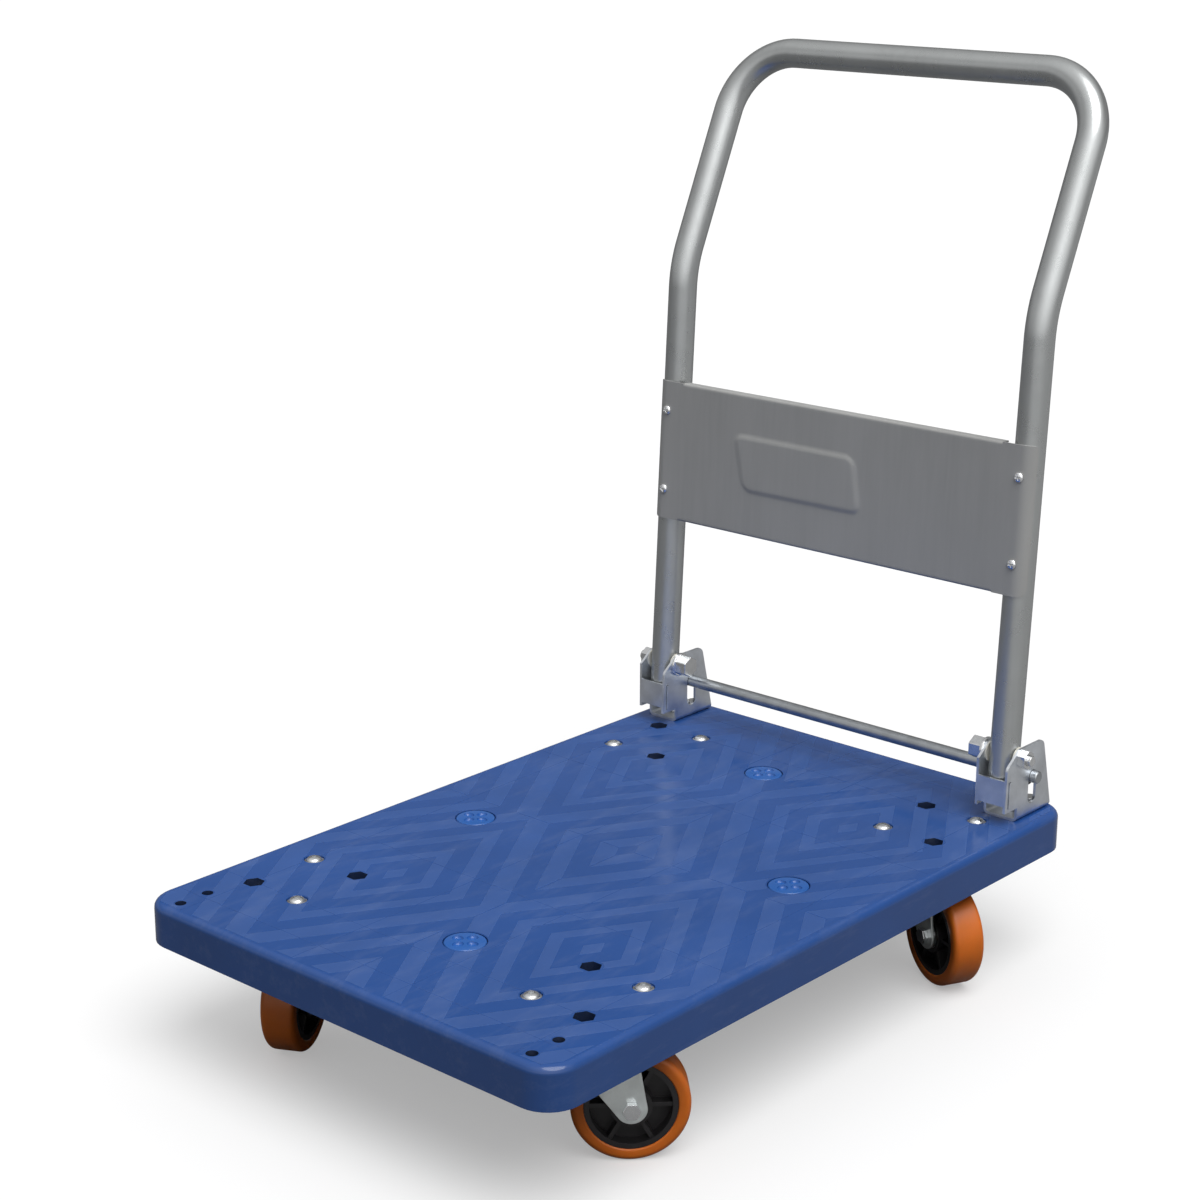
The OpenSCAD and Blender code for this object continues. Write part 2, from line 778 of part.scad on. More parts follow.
// Plain washers that centre each leg between the ears
module pivot_washers() {
  color("#e4e2d8") at_pivots() along_x() for (z = [tube_r + 0.05, -tube_r - 0.05 - washer_t]) translate([0, 0, z])
    difference() {
      cylinder(r = washer_r, h = washer_t);
      translate([0, 0, -eps]) cylinder(r = pivot_r + run_c, h = washer_t + 2 * eps);
    }
}

module rod_frame() {
  translate([0, pivot_y + rod_dy, deck_z + pivot_h - rod_dz]) children();
}

module foot_rod() {
  chamfer = 1;
  color("#70767c") rod_frame() along_x() {
    cylinder(r = rod_r, h = rod_len - 2 * chamfer, center = true);
    for (s = [0, 180]) rotate([s, 0, 0]) translate([0, 0, rod_len / 2 - chamfer])
      cylinder(r1 = rod_r, r2 = rod_r - chamfer, h = chamfer);
  }
}

// Retaining rings on the rod, just inside the outer ears
module rod_clips() {
  at = leg_x + bracket_w / 2 - sheet_t - 1;
  color("#3a3d40") rod_frame() for (s = [-1, 1]) translate([s * at, 0, 0]) along_x() difference() {
    cylinder(r = clip_r, h = clip_t, center = true);
    cylinder(r = rod_r + 0.02, h = 3 * clip_t, center = true);
  }
}

// Point on the wire's skin: turn number t and angle b round the wire
function coil_point(t, b) =
  let (reach = spring_r + spring_wire_r * cos(b))
  [reach * cos(360 * t), reach * sin(360 * t), spring_h * t / spring_turns + spring_wire_r * sin(b)];

module spring() {
  rings = spring_turns * spring_steps;
  points = [for (i = [0 : rings], j = [0 : spring_sides - 1])
    coil_point(i / spring_steps, 360 * j / spring_sides)];
  walls = [for (i = [0 : rings - 1], j = [0 : spring_sides - 1])
    let (k = (j + 1) % spring_sides, a = i * spring_sides, b = a + spring_sides)
    [a + j, b + j, b + k, a + k]];
  first = [for (j = [0 : spring_sides - 1]) j];
  last = [for (j = [spring_sides - 1 : -1 : 0]) rings * spring_sides + j];
  polyhedron(points, concat(walls, [first, last]));
}

module at_spring(side) {
  color("#9da2a8") translate([side * leg_x, pivot_y + rod_dy, spring_z]) children();
}

module rod_spring_left() {
  at_spring(-1) spring();
}

module rod_spring_right() {
  at_spring(1) spring();
}

// ---------- One module per caster part ----------

module front_left() {
  at_caster(-1, -1, yaw_front_left) children();
}

module front_right() {
  at_caster(1, -1, yaw_front_right) children();
}

module rear_left() {
  at_caster(-1, 1, yaw_rear_left) children();
}

module rear_right() {
  at_caster(1, 1, yaw_rear_right) children();
}

module plate_front_left() { at_caster(-1, -1, 0) top_plate(); }
module plate_front_right() { at_caster(1, -1, 0) top_plate(); }
module plate_rear_left() { at_caster(-1, 1, 0) top_plate(); }
module plate_rear_right() { at_caster(1, 1, 0) top_plate(); }

module kingpin_front_left() { at_caster(-1, -1, 0) kingpin(); }
module kingpin_front_right() { at_caster(1, -1, 0) kingpin(); }
module kingpin_rear_left() { at_caster(-1, 1, 0) kingpin(); }
module kingpin_rear_right() { at_caster(1, 1, 0) kingpin(); }

module balls_front_left() { at_caster(-1, -1, 0) bearing_balls(); }
module balls_front_right() { at_caster(1, -1, 0) bearing_balls(); }
module balls_rear_left() { at_caster(-1, 1, 0) bearing_balls(); }
module balls_rear_right() { at_caster(1, 1, 0) bearing_balls(); }

module fork_front_left() { front_left() fork(); }
module fork_front_right() { front_right() fork(); }
module fork_rear_left() { rear_left() fork(); }
module fork_rear_right() { rear_right() fork(); }

module axle_bolt_front_left() { front_left() axle_bolt(); }
module axle_bolt_front_right() { front_right() axle_bolt(); }
module axle_bolt_rear_left() { rear_left() axle_bolt(); }
module axle_bolt_rear_right() { rear_right() axle_bolt(); }

module axle_nut_front_left() { front_left() axle_nut(); }
module axle_nut_front_right() { front_right() axle_nut(); }
module axle_nut_rear_left() { rear_left() axle_nut(); }
module axle_nut_rear_right() { rear_right() axle_nut(); }

module axle_sleeve_front_left() { front_left() axle_sleeve(); }
module axle_sleeve_front_right() { front_right() axle_sleeve(); }
module axle_sleeve_rear_left() { rear_left() axle_sleeve(); }
module axle_sleeve_rear_right() { rear_right() axle_sleeve(); }

module hub_front_left() { front_left() hub(); }
module hub_front_right() { front_right() hub(); }
module hub_rear_left() { rear_left() hub(); }
module hub_rear_right() { rear_right() hub(); }

module tread_front_left() { front_left() tread(); }
module tread_front_right() { front_right() tread(); }
module tread_rear_left() { rear_left() tread(); }
module tread_rear_right() { rear_right() tread(); }

module bearings_front_left() { front_left() bearings(); }
module bearings_front_right() { front_right() bearings(); }
module bearings_rear_left() { rear_left() bearings(); }
module bearings_rear_right() { rear_right() bearings(); }

deck();
deck_plugs();
caster_screws();
pocket_bolts();
caster_nuts();
bracket_left();
bracket_right();
bracket_bolts();
bracket_nuts();
pivot_bolts();
pivot_nuts();
pivot_washers();
handle_tube();
back_panel();
panel_screws();
foot_rod();
rod_clips();
rod_spring_left();
rod_spring_right();
plate_front_left();
kingpin_front_left();
balls_front_left();
fork_front_left();
axle_bolt_front_left();
axle_nut_front_left();
axle_sleeve_front_left();
hub_front_left();
tread_front_left();
bearings_front_left();
plate_front_right();
kingpin_front_right();
balls_front_right();
fork_front_right();
axle_bolt_front_right();
axle_nut_front_right();
axle_sleeve_front_right();
hub_front_right();
tread_front_right();
bearings_front_right();
plate_rear_left();
kingpin_rear_left();
balls_rear_left();
fork_rear_left();
axle_bolt_rear_left();
axle_nut_rear_left();
axle_sleeve_rear_left();
hub_rear_left();
tread_rear_left();
bearings_rear_left();
plate_rear_right();
kingpin_rear_right();
balls_rear_right();
fork_rear_right();
axle_bolt_rear_right();
axle_nut_rear_right();
axle_sleeve_rear_right();
hub_rear_right();
tread_rear_right();
bearings_rear_right();
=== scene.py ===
"""Looks of the flatbed platform truck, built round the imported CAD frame.

Metres throughout; +Z is up, +Y is the handle end, the floor is z = 0.
"""

import json
import math

import bmesh
import bpy
from mathutils import Matrix, Vector
from mathutils.geometry import delaunay_2d_cdt


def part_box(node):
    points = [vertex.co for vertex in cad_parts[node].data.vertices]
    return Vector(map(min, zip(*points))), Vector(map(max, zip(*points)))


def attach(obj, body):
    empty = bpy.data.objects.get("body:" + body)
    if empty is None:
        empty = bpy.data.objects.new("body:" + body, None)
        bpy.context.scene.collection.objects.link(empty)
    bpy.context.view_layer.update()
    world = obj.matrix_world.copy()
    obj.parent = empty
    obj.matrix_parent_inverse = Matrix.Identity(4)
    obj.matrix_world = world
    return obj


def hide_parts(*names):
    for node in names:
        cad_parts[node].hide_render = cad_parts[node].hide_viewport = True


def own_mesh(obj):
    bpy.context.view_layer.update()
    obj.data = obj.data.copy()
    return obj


MM = 0.001
WELD = 0.001 * MM
CORNERS = ("front_left", "front_right", "rear_left", "rear_right")

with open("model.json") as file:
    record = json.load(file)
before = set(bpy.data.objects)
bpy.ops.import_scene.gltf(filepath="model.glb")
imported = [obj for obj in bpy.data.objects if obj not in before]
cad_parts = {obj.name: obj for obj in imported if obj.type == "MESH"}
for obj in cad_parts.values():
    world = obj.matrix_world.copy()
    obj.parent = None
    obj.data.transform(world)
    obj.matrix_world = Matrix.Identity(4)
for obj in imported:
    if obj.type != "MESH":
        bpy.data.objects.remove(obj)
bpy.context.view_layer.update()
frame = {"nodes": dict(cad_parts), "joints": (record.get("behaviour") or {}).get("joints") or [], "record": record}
JOINTS = {j["name"]: j for j in frame["joints"]}

DECK_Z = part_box("deck")[1].z
LEG_X = 205.5 * MM
TUBE_R = 14 * MM

# Matrix from the handle's own frame, where z runs up the lower legs from the pivot, to the world
PIVOT = Vector(JOINTS["handle_fold"]["pos_m"])
LEAN = math.radians(3.1)
HANDLE = Matrix.Translation(PIVOT) @ Matrix.Rotation(-LEAN, 4, "X")


# ---------- Mesh helpers ----------


def middle(lo, hi):
    """Centre of a box."""
    return (lo + hi) / 2


def islands(node):
    """Lowest and highest corner of each separate solid in a CAD node."""
    bm = bmesh.new()
    bm.from_mesh(frame["nodes"][node].data)
    bmesh.ops.remove_doubles(bm, verts=bm.verts, dist=WELD)
    left, found = set(bm.verts), []
    while left:
        stack, group = [left.pop()], []
        while stack:
            v = stack.pop()
            group.append(v.co.copy())
            for e in v.link_edges:
                w = e.other_vert(v)
                if w in left:
                    left.remove(w)
                    stack.append(w)
        lo = Vector(map(min, zip(*group)))
        hi = Vector(map(max, zip(*group)))
        found.append((lo, hi))
    bm.free()
    return sorted(found, key=lambda b: tuple(round(c, 4) for c in b[0]))


def make_object(name, bm, materials, sharp=32):
    """Object from a bmesh: faces smooth, with edges over `sharp` degrees kept crisp."""
    mesh = bpy.data.meshes.new(name)
    bmesh.ops.recalc_face_normals(bm, faces=bm.faces)
    bm.to_mesh(mesh)
    bm.free()
    for m in materials:
        mesh.materials.append(m)
    mesh.shade_smooth()
    mesh.set_sharp_from_angle(angle=math.radians(sharp))
    obj = bpy.data.objects.new(name, mesh)
    bpy.context.scene.collection.objects.link(obj)
    return obj


def apply_modifiers(obj):
    """Freezes an object's modifiers into its mesh."""
    dg = bpy.context.evaluated_depsgraph_get()
    mesh = bpy.data.meshes.new_from_object(obj.evaluated_get(dg), depsgraph=dg)
    obj.modifiers.clear()
    old, obj.data = obj.data, mesh
    bpy.data.meshes.remove(old)


def cut(obj, cutter):
    """Cuts another object out of this one and removes it."""
    mod = obj.modifiers.new("boolean", "BOOLEAN")
    mod.solver = "EXACT"
    mod.operation = "DIFFERENCE"
    mod.object = cutter
    apply_modifiers(obj)
    mesh = cutter.data
    bpy.data.objects.remove(cutter)
    bpy.data.meshes.remove(mesh)


def retriangulate(bm, face):
    """Replaces a flat face by clean triangles over the same outline."""
    verts, centre = list(face.verts), face.calc_center_median()
    u = face.normal.orthogonal().normalized()
    v = face.normal.cross(u)
    flat = [Vector(((p.co - centre).dot(u), (p.co - centre).dot(v))) for p in verts]
    points, _, faces, sources, _, _ = delaunay_2d_cdt(flat, [], [list(range(len(flat)))], 1, 1e-8)
    corners = [
        verts[source[0]] if source else bm.verts.new(centre + u * point.x + v * point.y)
        for point, source in zip(points, sources)
    ]
    bmesh.ops.delete(bm, geom=[face], context="FACES_ONLY")
    for tri in faces:
        if bm.faces.get([corners[i] for i in tri]) is None:
            bm.faces.new([corners[i] for i in tri])


# A face is mended when the area of its triangles differs from its own by this share and this area
OVERLAP_SHARE, OVERLAP_AREA = 0.002, 1e-9


def mend_faces(mesh):
    """Cleans the many-sided faces whose own triangles would overlap each other."""
    mesh.calc_loop_triangles()
    covered = [0.0] * len(mesh.polygons)
    for tri in mesh.loop_triangles:
        covered[tri.polygon_index] += tri.area
    excess = [abs(area - p.area) - OVERLAP_SHARE * p.area for area, p in zip(covered, mesh.polygons)]
    bad = [index for index, value in enumerate(excess) if value > OVERLAP_AREA]
    if bad:
        bm = bmesh.new()
        bm.from_mesh(mesh)
        bm.faces.ensure_lookup_table()
        for face in [bm.faces[i] for i in bad]:
            retriangulate(bm, face)
        bm.to_mesh(mesh)
        bm.free()


def soften(obj, width, segments=2, angle=38):
    """Bevels an object's edges over `angle` degrees, shades it smooth and keeps its flats flat."""
    mod = obj.modifiers.new("bevel", "BEVEL")
    mod.width = width
    mod.segments = segments
    mod.limit_method = "ANGLE"
    mod.angle_limit = math.radians(angle)
    mod.miter_outer = "MITER_ARC"
    apply_modifiers(obj)
    mend_faces(obj.data)
    obj.data.shade_smooth()
    obj.data.set_sharp_from_angle(angle=math.radians(50))
    flat = obj.modifiers.new("flat_faces", "WEIGHTED_NORMAL")
    flat.weight = 100
    flat.keep_sharp = True
    apply_modifiers(obj)


def lathe(profile, sides=64, closed=False):
    """Bmesh turned about Z from (radius, height) points; a point at radius 0 closes to one vertex."""
    bm = bmesh.new()
    rings = []
    for r, z in profile:
        if r < 1e-9:
            rings.append([bm.verts.new((0, 0, z))])
        else:
            turn = [2 * math.pi * i / sides for i in range(sides)]
            rings.append([bm.verts.new((r * math.cos(a), r * math.sin(a), z)) for a in turn])
    pairs = list(zip(rings, rings[1:]))
    if closed:
        pairs.append((rings[-1], rings[0]))
    for a, b in pairs:
        for i in range(sides):
            j = (i + 1) % sides
            quad = [a[i % len(a)], a[j % len(a)], b[j % len(b)], b[i % len(b)]]
            corners = list(dict.fromkeys(quad))
            if len(corners) > 2:
                bm.faces.new(corners)
    return bm


def prism(points, z0, z1):
    """Bmesh of an upright prism over a polygon of (x, y) points."""
    bm = bmesh.new()
    low = [bm.verts.new((x, y, z0)) for x, y in points]
    high = [bm.verts.new((x, y, z1)) for x, y in points]
    bm.faces.new(low[::-1])
    bm.faces.new(high)
    for i in range(len(points)):
        j = (i + 1) % len(points)
        bm.faces.new((low[i], low[j], high[j], high[i]))
    return bm


def ring_points(r, sides, turn=0.0):
    """Points of a regular polygon round the origin."""
    turns = [turn + 2 * math.pi * i / sides for i in range(sides)]
    return [(r * math.cos(a), r * math.sin(a)) for a in turns]


def dome(r, z, rise, angles):
    """Points up a domed head of radius r that rises from z, at angles in degrees."""
    turns = [math.radians(a) for a in angles]
    return [(r * math.cos(a), z + rise * math.sin(a)) for a in turns]


def arc(cx, cz, r, a0, a1, steps):
    """Points along an arc, angles in degrees."""
    turns = [math.radians(a0 + (a1 - a0) * i / steps) for i in range(steps + 1)]
    return [(cx + r * math.cos(a), cz + r * math.sin(a)) for a in turns]


def merge(target, source, matrix=None):
    """Adds one bmesh to another, optionally moved, and frees it."""
    if matrix is not None:
        bmesh.ops.transform(source, matrix=matrix, verts=source.verts)
    mesh = bpy.data.meshes.new("part")
    source.to_mesh(mesh)
    source.free()
    target.from_mesh(mesh)
    bpy.data.meshes.remove(mesh)


def place(obj, node_names, body):
    """Rides an object on its body, in place of the CAD nodes it stands for, if any."""
    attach(obj, body)
    if node_names:
        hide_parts(*node_names)
    return obj


def body_of_node(node):
    """Name of the CAD body a node belongs to."""
    return next(b for b, ns in frame["record"]["behaviour"]["bodies"].items() if node in ns)


def clean_copy(node, name, material, bevel, segments=2, angle=38):
    """Copy of a CAD node with joined faces and small rounded edges."""
    bm = bmesh.new()
    bm.from_mesh(frame["nodes"][node].data)
    bmesh.ops.remove_doubles(bm, verts=bm.verts, dist=WELD)
    bmesh.ops.dissolve_limit(bm, angle_limit=math.radians(0.3), verts=bm.verts, edges=bm.edges)
    for f in bm.faces:
        f.material_index = 0
    obj = make_object(name, bm, [material])
    if bevel:
        soften(obj, bevel, segments, angle)
    return place(obj, [node], body_of_node(node))


# ---------- Materials ----------


class Shader:
    """Small builder round one material's node tree."""

    def __init__(self, name):
        self.mat = bpy.data.materials.new(name)
        self.mat.use_nodes = True
        self.tree = self.mat.node_tree
        self.bsdf = self.tree.nodes["Principled BSDF"]
        self.coord = self.tree.nodes.new("ShaderNodeTexCoord").outputs["Object"]

    def node(self, kind, **values):
        """New node with the given properties."""
        n = self.tree.nodes.new(kind)
        for key, value in values.items():
            setattr(n, key, value)
        return n

    def join(self, out, socket):
        """Link from an output to an input."""
        self.tree.links.new(out, socket)

    def fill(self, socket, value):
        """Sets a socket from a number or a colour, or links it to another node's output."""
        if isinstance(value, (int, float)):
            socket.default_value = value
        elif isinstance(value, tuple):
            socket.default_value = (*value, 1.0)
        else:
            self.join(value, socket)

    def noise(self, scale, detail=3.0, rough=0.55, stretch=(1, 1, 1)):
        """Noise value between 0 and 1, with the coordinates stretched per axis."""
        mapping = self.node("ShaderNodeMapping")
        mapping.inputs["Scale"].default_value = stretch
        self.join(self.coord, mapping.inputs["Vector"])
        n = self.node("ShaderNodeTexNoise")
        n.inputs["Scale"].default_value = scale
        n.inputs["Detail"].default_value = detail
        n.inputs["Roughness"].default_value = rough
        self.join(mapping.outputs["Vector"], n.inputs["Vector"])
        return n.outputs["Fac"]

    def spread(self, value, low, high, from_low=0.3, from_high=0.7):
        """Maps a 0..1 value onto low..high."""
        n = self.node("ShaderNodeMapRange")
        n.inputs["From Min"].default_value = from_low
        n.inputs["From Max"].default_value = from_high
        n.inputs["To Min"].default_value = low
        n.inputs["To Max"].default_value = high
        self.join(value, n.inputs["Value"])
        return n.outputs["Result"]

    def math(self, op, a, b):
        """Arithmetic on two numbers or outputs."""
        n = self.node("ShaderNodeMath", operation=op)
        self.fill(n.inputs[0], a)
        self.fill(n.inputs[1], b)
        return n.outputs[0]

    def mix(self, factor, a, b):
        """Colour mix; a and b are colours or outputs."""
        n = self.node("ShaderNodeMix", data_type="RGBA")
        for socket, value in ((n.inputs[0], factor), (n.inputs[6], a), (n.inputs[7], b)):
            self.fill(socket, value)
        return n.outputs[2]

    def bump(self, height, distance, normal=None):
        """Normal tilted by a height in 0..1 that stands for `distance` metres, on top of another one."""
        n = self.node("ShaderNodeBump")
        n.inputs["Strength"].default_value = 1.0
        n.inputs["Distance"].default_value = distance
        self.join(height, n.inputs["Height"])
        if normal is not None:
            self.join(normal, n.inputs["Normal"])
        return n.outputs["Normal"]

    def set(self, **values):
        """Fills the Principled BSDF's sockets, named with underscores for spaces."""
        for key, value in values.items():
            self.fill(self.bsdf.inputs[key.replace("_", " ")], value)


def shade(colour, factor):
    """Lighter or darker copy of a colour."""
    return tuple(min(1.0, c * factor) for c in colour)


def deck_plastic(name, colour, rough, grain, wave):
    """Moulded polypropylene: soft mottling, faint scuffs, and a surface that isn't quite flat."""
    s = Shader(name)
    mottle = s.spread(s.noise(9, 4), 0, 1)
    scuff = s.spread(s.noise(60, 6, 0.7, (1, 0.25, 1)), 0, 1, 0.5, 0.75)
    base = s.mix(mottle, shade(colour, 0.93), shade(colour, 1.07))
    s.set(Base_Color=s.mix(s.math("MULTIPLY", scuff, 0.06), base, (0.5, 0.55, 0.65)))
    sheen = s.spread(s.noise(35, 5), rough * 0.85, rough * 1.15)
    s.set(Roughness=s.math("ADD", sheen, s.math("MULTIPLY", scuff, 0.05)))
    s.set(Normal=s.bump(s.noise(1400, 2), grain, s.bump(s.noise(14, 2), wave)))
    return s.mat


def powder_coat(name, colour, rough, metal):
    """Satin metallic coat: slight orange peel, long faint streaks, uneven sheen."""
    s = Shader(name)
    mottle = s.spread(s.noise(14, 3, 0.5, (1, 1, 0.25)), 0, 1)
    streaks = s.spread(s.noise(220, 3, 0.5, (1, 1, 0.04)), 0, 1)
    base = s.mix(mottle, shade(colour, 0.94), shade(colour, 1.06))
    s.set(Base_Color=s.mix(s.math("MULTIPLY", streaks, 0.35), base, shade(colour, 1.12)), Metallic=metal)
    s.set(Roughness=s.spread(s.noise(60, 3), rough * 0.9, rough * 1.1))
    s.set(Normal=s.bump(s.noise(160, 2), 0.012 * MM))
    return s.mat


def zinc_plate(name, colour, rough, streak=(1, 1, 1), dull=0.0):
    """Zinc-plated steel: cloudy bright plating with hairline scratches."""
    s = Shader(name)
    cloud = s.spread(s.noise(55, 5, 0.6), 0, 1)
    base = s.mix(cloud, shade(colour, 0.86), shade(colour, 1.04))
    grime = s.spread(s.noise(24, 6, 0.65), 0, 1, 0.5, 0.8)
    s.set(Base_Color=s.mix(s.math("MULTIPLY", grime, 0.25 + dull), base, shade(colour, 0.55)), Metallic=1.0)
    hair = s.noise(900, 3, 0.6, streak)
    sheen = s.spread(cloud, rough * 0.8, rough * 1.25, 0, 1)
    s.set(Roughness=s.math("ADD", sheen, s.spread(hair, 0, 0.08)))
    s.set(Normal=s.bump(hair, 0.012 * MM, s.bump(s.noise(120, 3), 0.05 * MM)))
    return s.mat


def urethane(name, colour):
    """Cast polyurethane: slightly translucent, with scuffed, dusty patches."""
    s = Shader(name)
    mottle = s.spread(s.noise(30, 5), 0, 1)
    base = s.mix(mottle, shade(colour, 0.88), shade(colour, 1.06))
    dust = s.spread(s.noise(110, 6, 0.7), 0, 1, 0.55, 0.8)
    s.set(Base_Color=s.mix(s.math("MULTIPLY", dust, 0.09), base, (0.40, 0.22, 0.12)))
    s.set(Roughness=s.spread(s.noise(80, 4), 0.3, 0.46), Subsurface_Weight=0.12, Subsurface_Scale=2 * MM)
    s.set(Normal=s.bump(s.noise(500, 3), 0.03 * MM, s.bump(s.noise(60, 2), 0.15 * MM)))
    return s.mat


def black_moulding(name, colour, rough):
    """Black moulded plastic with a spark-eroded grain."""
    s = Shader(name)
    mottle = s.spread(s.noise(40, 5), 0, 1)
    dust = s.spread(s.noise(90, 6, 0.7), 0, 1, 0.55, 0.85)
    base = s.mix(mottle, shade(colour, 0.8), shade(colour, 1.25))
    s.set(Base_Color=s.mix(s.math("MULTIPLY", dust, 0.10), base, (0.16, 0.15, 0.14)))
    s.set(Roughness=s.spread(s.noise(120, 4), rough * 0.85, rough * 1.15))
    s.set(Normal=s.bump(s.noise(1500, 2), 0.03 * MM))
    return s.mat


GLOSS_BLUE = deck_plastic("deck_gloss", (0.018, 0.076, 0.285), 0.16, 0.004 * MM, 0.22 * MM)
# The matte bands' blue is a little lighter and greyer than the gloss blue: a painted sheen for the light the matte
# bands scatter
MATTE_SHEEN_BLUE = deck_plastic("deck_matte_sheen", (0.028, 0.088, 0.298), 0.42, 0.03 * MM, 0.22 * MM)
# Near-black blue for the walls of the deck's deep holes: painted shade, and the dirt they hold
HOLE_SHADE_BLUE = deck_plastic("deck_hole_shade", (0.004, 0.014, 0.050), 0.5, 0.03 * MM, 0.05 * MM)
PLUG_BLUE = deck_plastic("plug_blue", (0.018, 0.110, 0.40), 0.22, 0.004 * MM, 0.05 * MM)
TUBE_PAINT = powder_coat("tube_paint", (0.47, 0.485, 0.485), 0.29, 0.8)
PANEL_PAINT = powder_coat("panel_paint", (0.43, 0.432, 0.424), 0.48, 0.2)
BRIGHT_ZINC = zinc_plate("bright_zinc", (0.74, 0.77, 0.81), 0.34, (1, 1, 0.15))
BRIGHT_STEEL = zinc_plate("bright_steel", (0.80, 0.81, 0.82), 0.14)
DULL_ZINC = zinc_plate("dull_zinc", (0.42, 0.44, 0.46), 0.34, (0.1, 1, 1), 0.2)
FORK_ZINC = zinc_plate("fork_zinc", (0.62, 0.655, 0.65), 0.42, (1, 1, 0.2), 0.05)
DARK_STEEL = zinc_plate("dark_steel", (0.10, 0.10, 0.11), 0.4)
TREAD = urethane("orange_urethane", (0.72, 0.165, 0.012))
HUB = black_moulding("hub_black", (0.010, 0.009, 0.010), 0.42)
NYLON = black_moulding("nylon", (0.72, 0.70, 0.62), 0.5)


# ---------- Deck ----------

# Way from the relief's outline to the deck's edge, past the rounded edge
DECK_MARGIN = 8.5 * MM
# Inner and outer reach of each matte band from its diamond's centre, in mm along X
BANDS = ((0, 9.5), (31, 45.5), (67, 83), (103.5, 127.5), (149, 170), (191.5, 213))
BAND_SLOPE = 1.65
SEAM_HALF = 0.6 * MM
SEAT_MARGIN = 1.1 * MM
# Places of the lines over the ribs on each side of the deck's middle, in mm
LINES_X, LINES_Y = (54, 195), (137, 271, 322)
LINE_W, LINE_EDGE, LINE_RISE = 0.9 * MM, 0.3 * MM, 0.05 * MM
RELIEF_H, RELIEF_EDGE, RELIEF_ROOT = 0.10 * MM, 0.9 * MM, 0.3 * MM
RELIEF_FOOT = 0.01 * MM
# Radius of the recess round each kind of fixing in the deck's top
CLEAR_R = {"caster_screws": 9.25 * MM, "pocket_bolts": 9.6 * MM, "deck_plugs": 19 * MM}
CLEAR_MARGIN = 1.2 * MM
FRONT_HOLES = [Vector((x, y, 0)) for x in (-LEG_X, LEG_X) for y in (-343 * MM, -313.5 * MM)]
FRONT_HOLE_R = 5 * MM
POCKET_R = 10.3 * MM
WALL_MARGIN = 0.1 * MM
PLUG_R = 18 * MM
PLUG_SEAT = DECK_Z - 3 * MM
FINGER_AT = 8.6 * MM


def slice_faces(bm, cuts, test=None):
    """Cuts a flat bmesh along lines given as (x, y, direction); `test` limits it to some of the faces."""
    for x, y, normal in cuts:
        faces = [f for f in bm.faces if test is None or test(f.calc_center_median())]
        geom = faces + list({e for f in faces for e in f.edges}) + list({v for f in faces for v in f.verts})
        bmesh.ops.bisect_plane(bm, geom=geom, dist=1e-7, plane_co=(x, y, 0), plane_no=normal)


def keep_faces(bm, test):
    """Deletes the faces of a flat bmesh whose centre fails the test."""
    bmesh.ops.remove_doubles(bm, verts=bm.verts, dist=WELD)
    gone = [f for f in bm.faces if not test(f.calc_center_median())]
    bmesh.ops.delete(bm, geom=gone, context="FACES")


def band_polygons(x0, x1, y0, y1):
    """Matte diamond bands of one quadrant: a bmesh of flat faces at z = 0."""
    cx, cy = (x0 + x1) / 2, (y0 + y1) / 2
    bm = bmesh.new()
    for ax, bx in ((x0, cx), (cx, x1)):
        for ay, by in ((y0, cy), (cy, y1)):
            bm.faces.new([bm.verts.new((x, y, 0)) for x, y in ((ax, ay), (bx, ay), (bx, by), (ax, by))])
    bmesh.ops.remove_doubles(bm, verts=bm.verts, dist=WELD)
    reaches = [reach * MM for band in BANDS for reach in band if reach > 0]
    for sx in (-1, 1):
        for sy in (-1, 1):
            normal = Vector((sx, sy / BAND_SLOPE, 0)).normalized()
            slice_faces(bm, [(cx + sx * t, cy, normal) for t in reaches],
                        lambda c: (c.x - cx) * sx > 0 and (c.y - cy) * sy > 0)

    def in_band(c):
        t = (abs(c.x - cx) + abs(c.y - cy) / BAND_SLOPE) / MM
        return any(low < t < high for low, high in BANDS)

    keep_faces(bm, in_band)
    return bm


def line_grid(x_out, y_out):
    """Thin straight lines that show on the deck over its ribs: a bmesh of flat faces at z = 0."""
    bm = bmesh.new()
    corners = ((-x_out, -y_out), (x_out, -y_out), (x_out, y_out), (-x_out, y_out))
    bm.faces.new([bm.verts.new((x, y, 0)) for x, y in corners])
    half = LINE_W / 2
    spots_x = [s * x * MM for x in LINES_X for s in (-1, 1)]
    spots_y = [s * y * MM for y in LINES_Y for s in (-1, 1)]
    slice_faces(bm, [(x + s * half, 0, (1, 0, 0)) for x in spots_x for s in (-1, 1)])
    slice_faces(bm, [(0, y + s * half, (0, 1, 0)) for y in spots_y for s in (-1, 1)])

    def on_line(c):
        return any(abs(c.x - x) < half for x in spots_x) or any(abs(c.y - y) < half for y in spots_y)

    keep_faces(bm, on_line)
    return bm


def raise_faces(bm, z_low, z_mid, z_top, slope):
    """Turns flat faces at z = 0 into closed raised islands with sloping edges."""
    bmesh.ops.translate(bm, verts=bm.verts, vec=(0, 0, z_low))
    base = list(bm.faces)
    made = bmesh.ops.extrude_face_region(bm, geom=base)
    top = [g for g in made["geom"] if isinstance(g, bmesh.types.BMFace)]
    bmesh.ops.translate(bm, verts=list({v for f in top for v in f.verts}), vec=(0, 0, z_mid - z_low))
    bmesh.ops.inset_region(bm, faces=top, thickness=slope, depth=0, use_even_offset=True)
    bmesh.ops.translate(bm, verts=list({v for f in top for v in f.verts}), vec=(0, 0, z_top - z_mid))


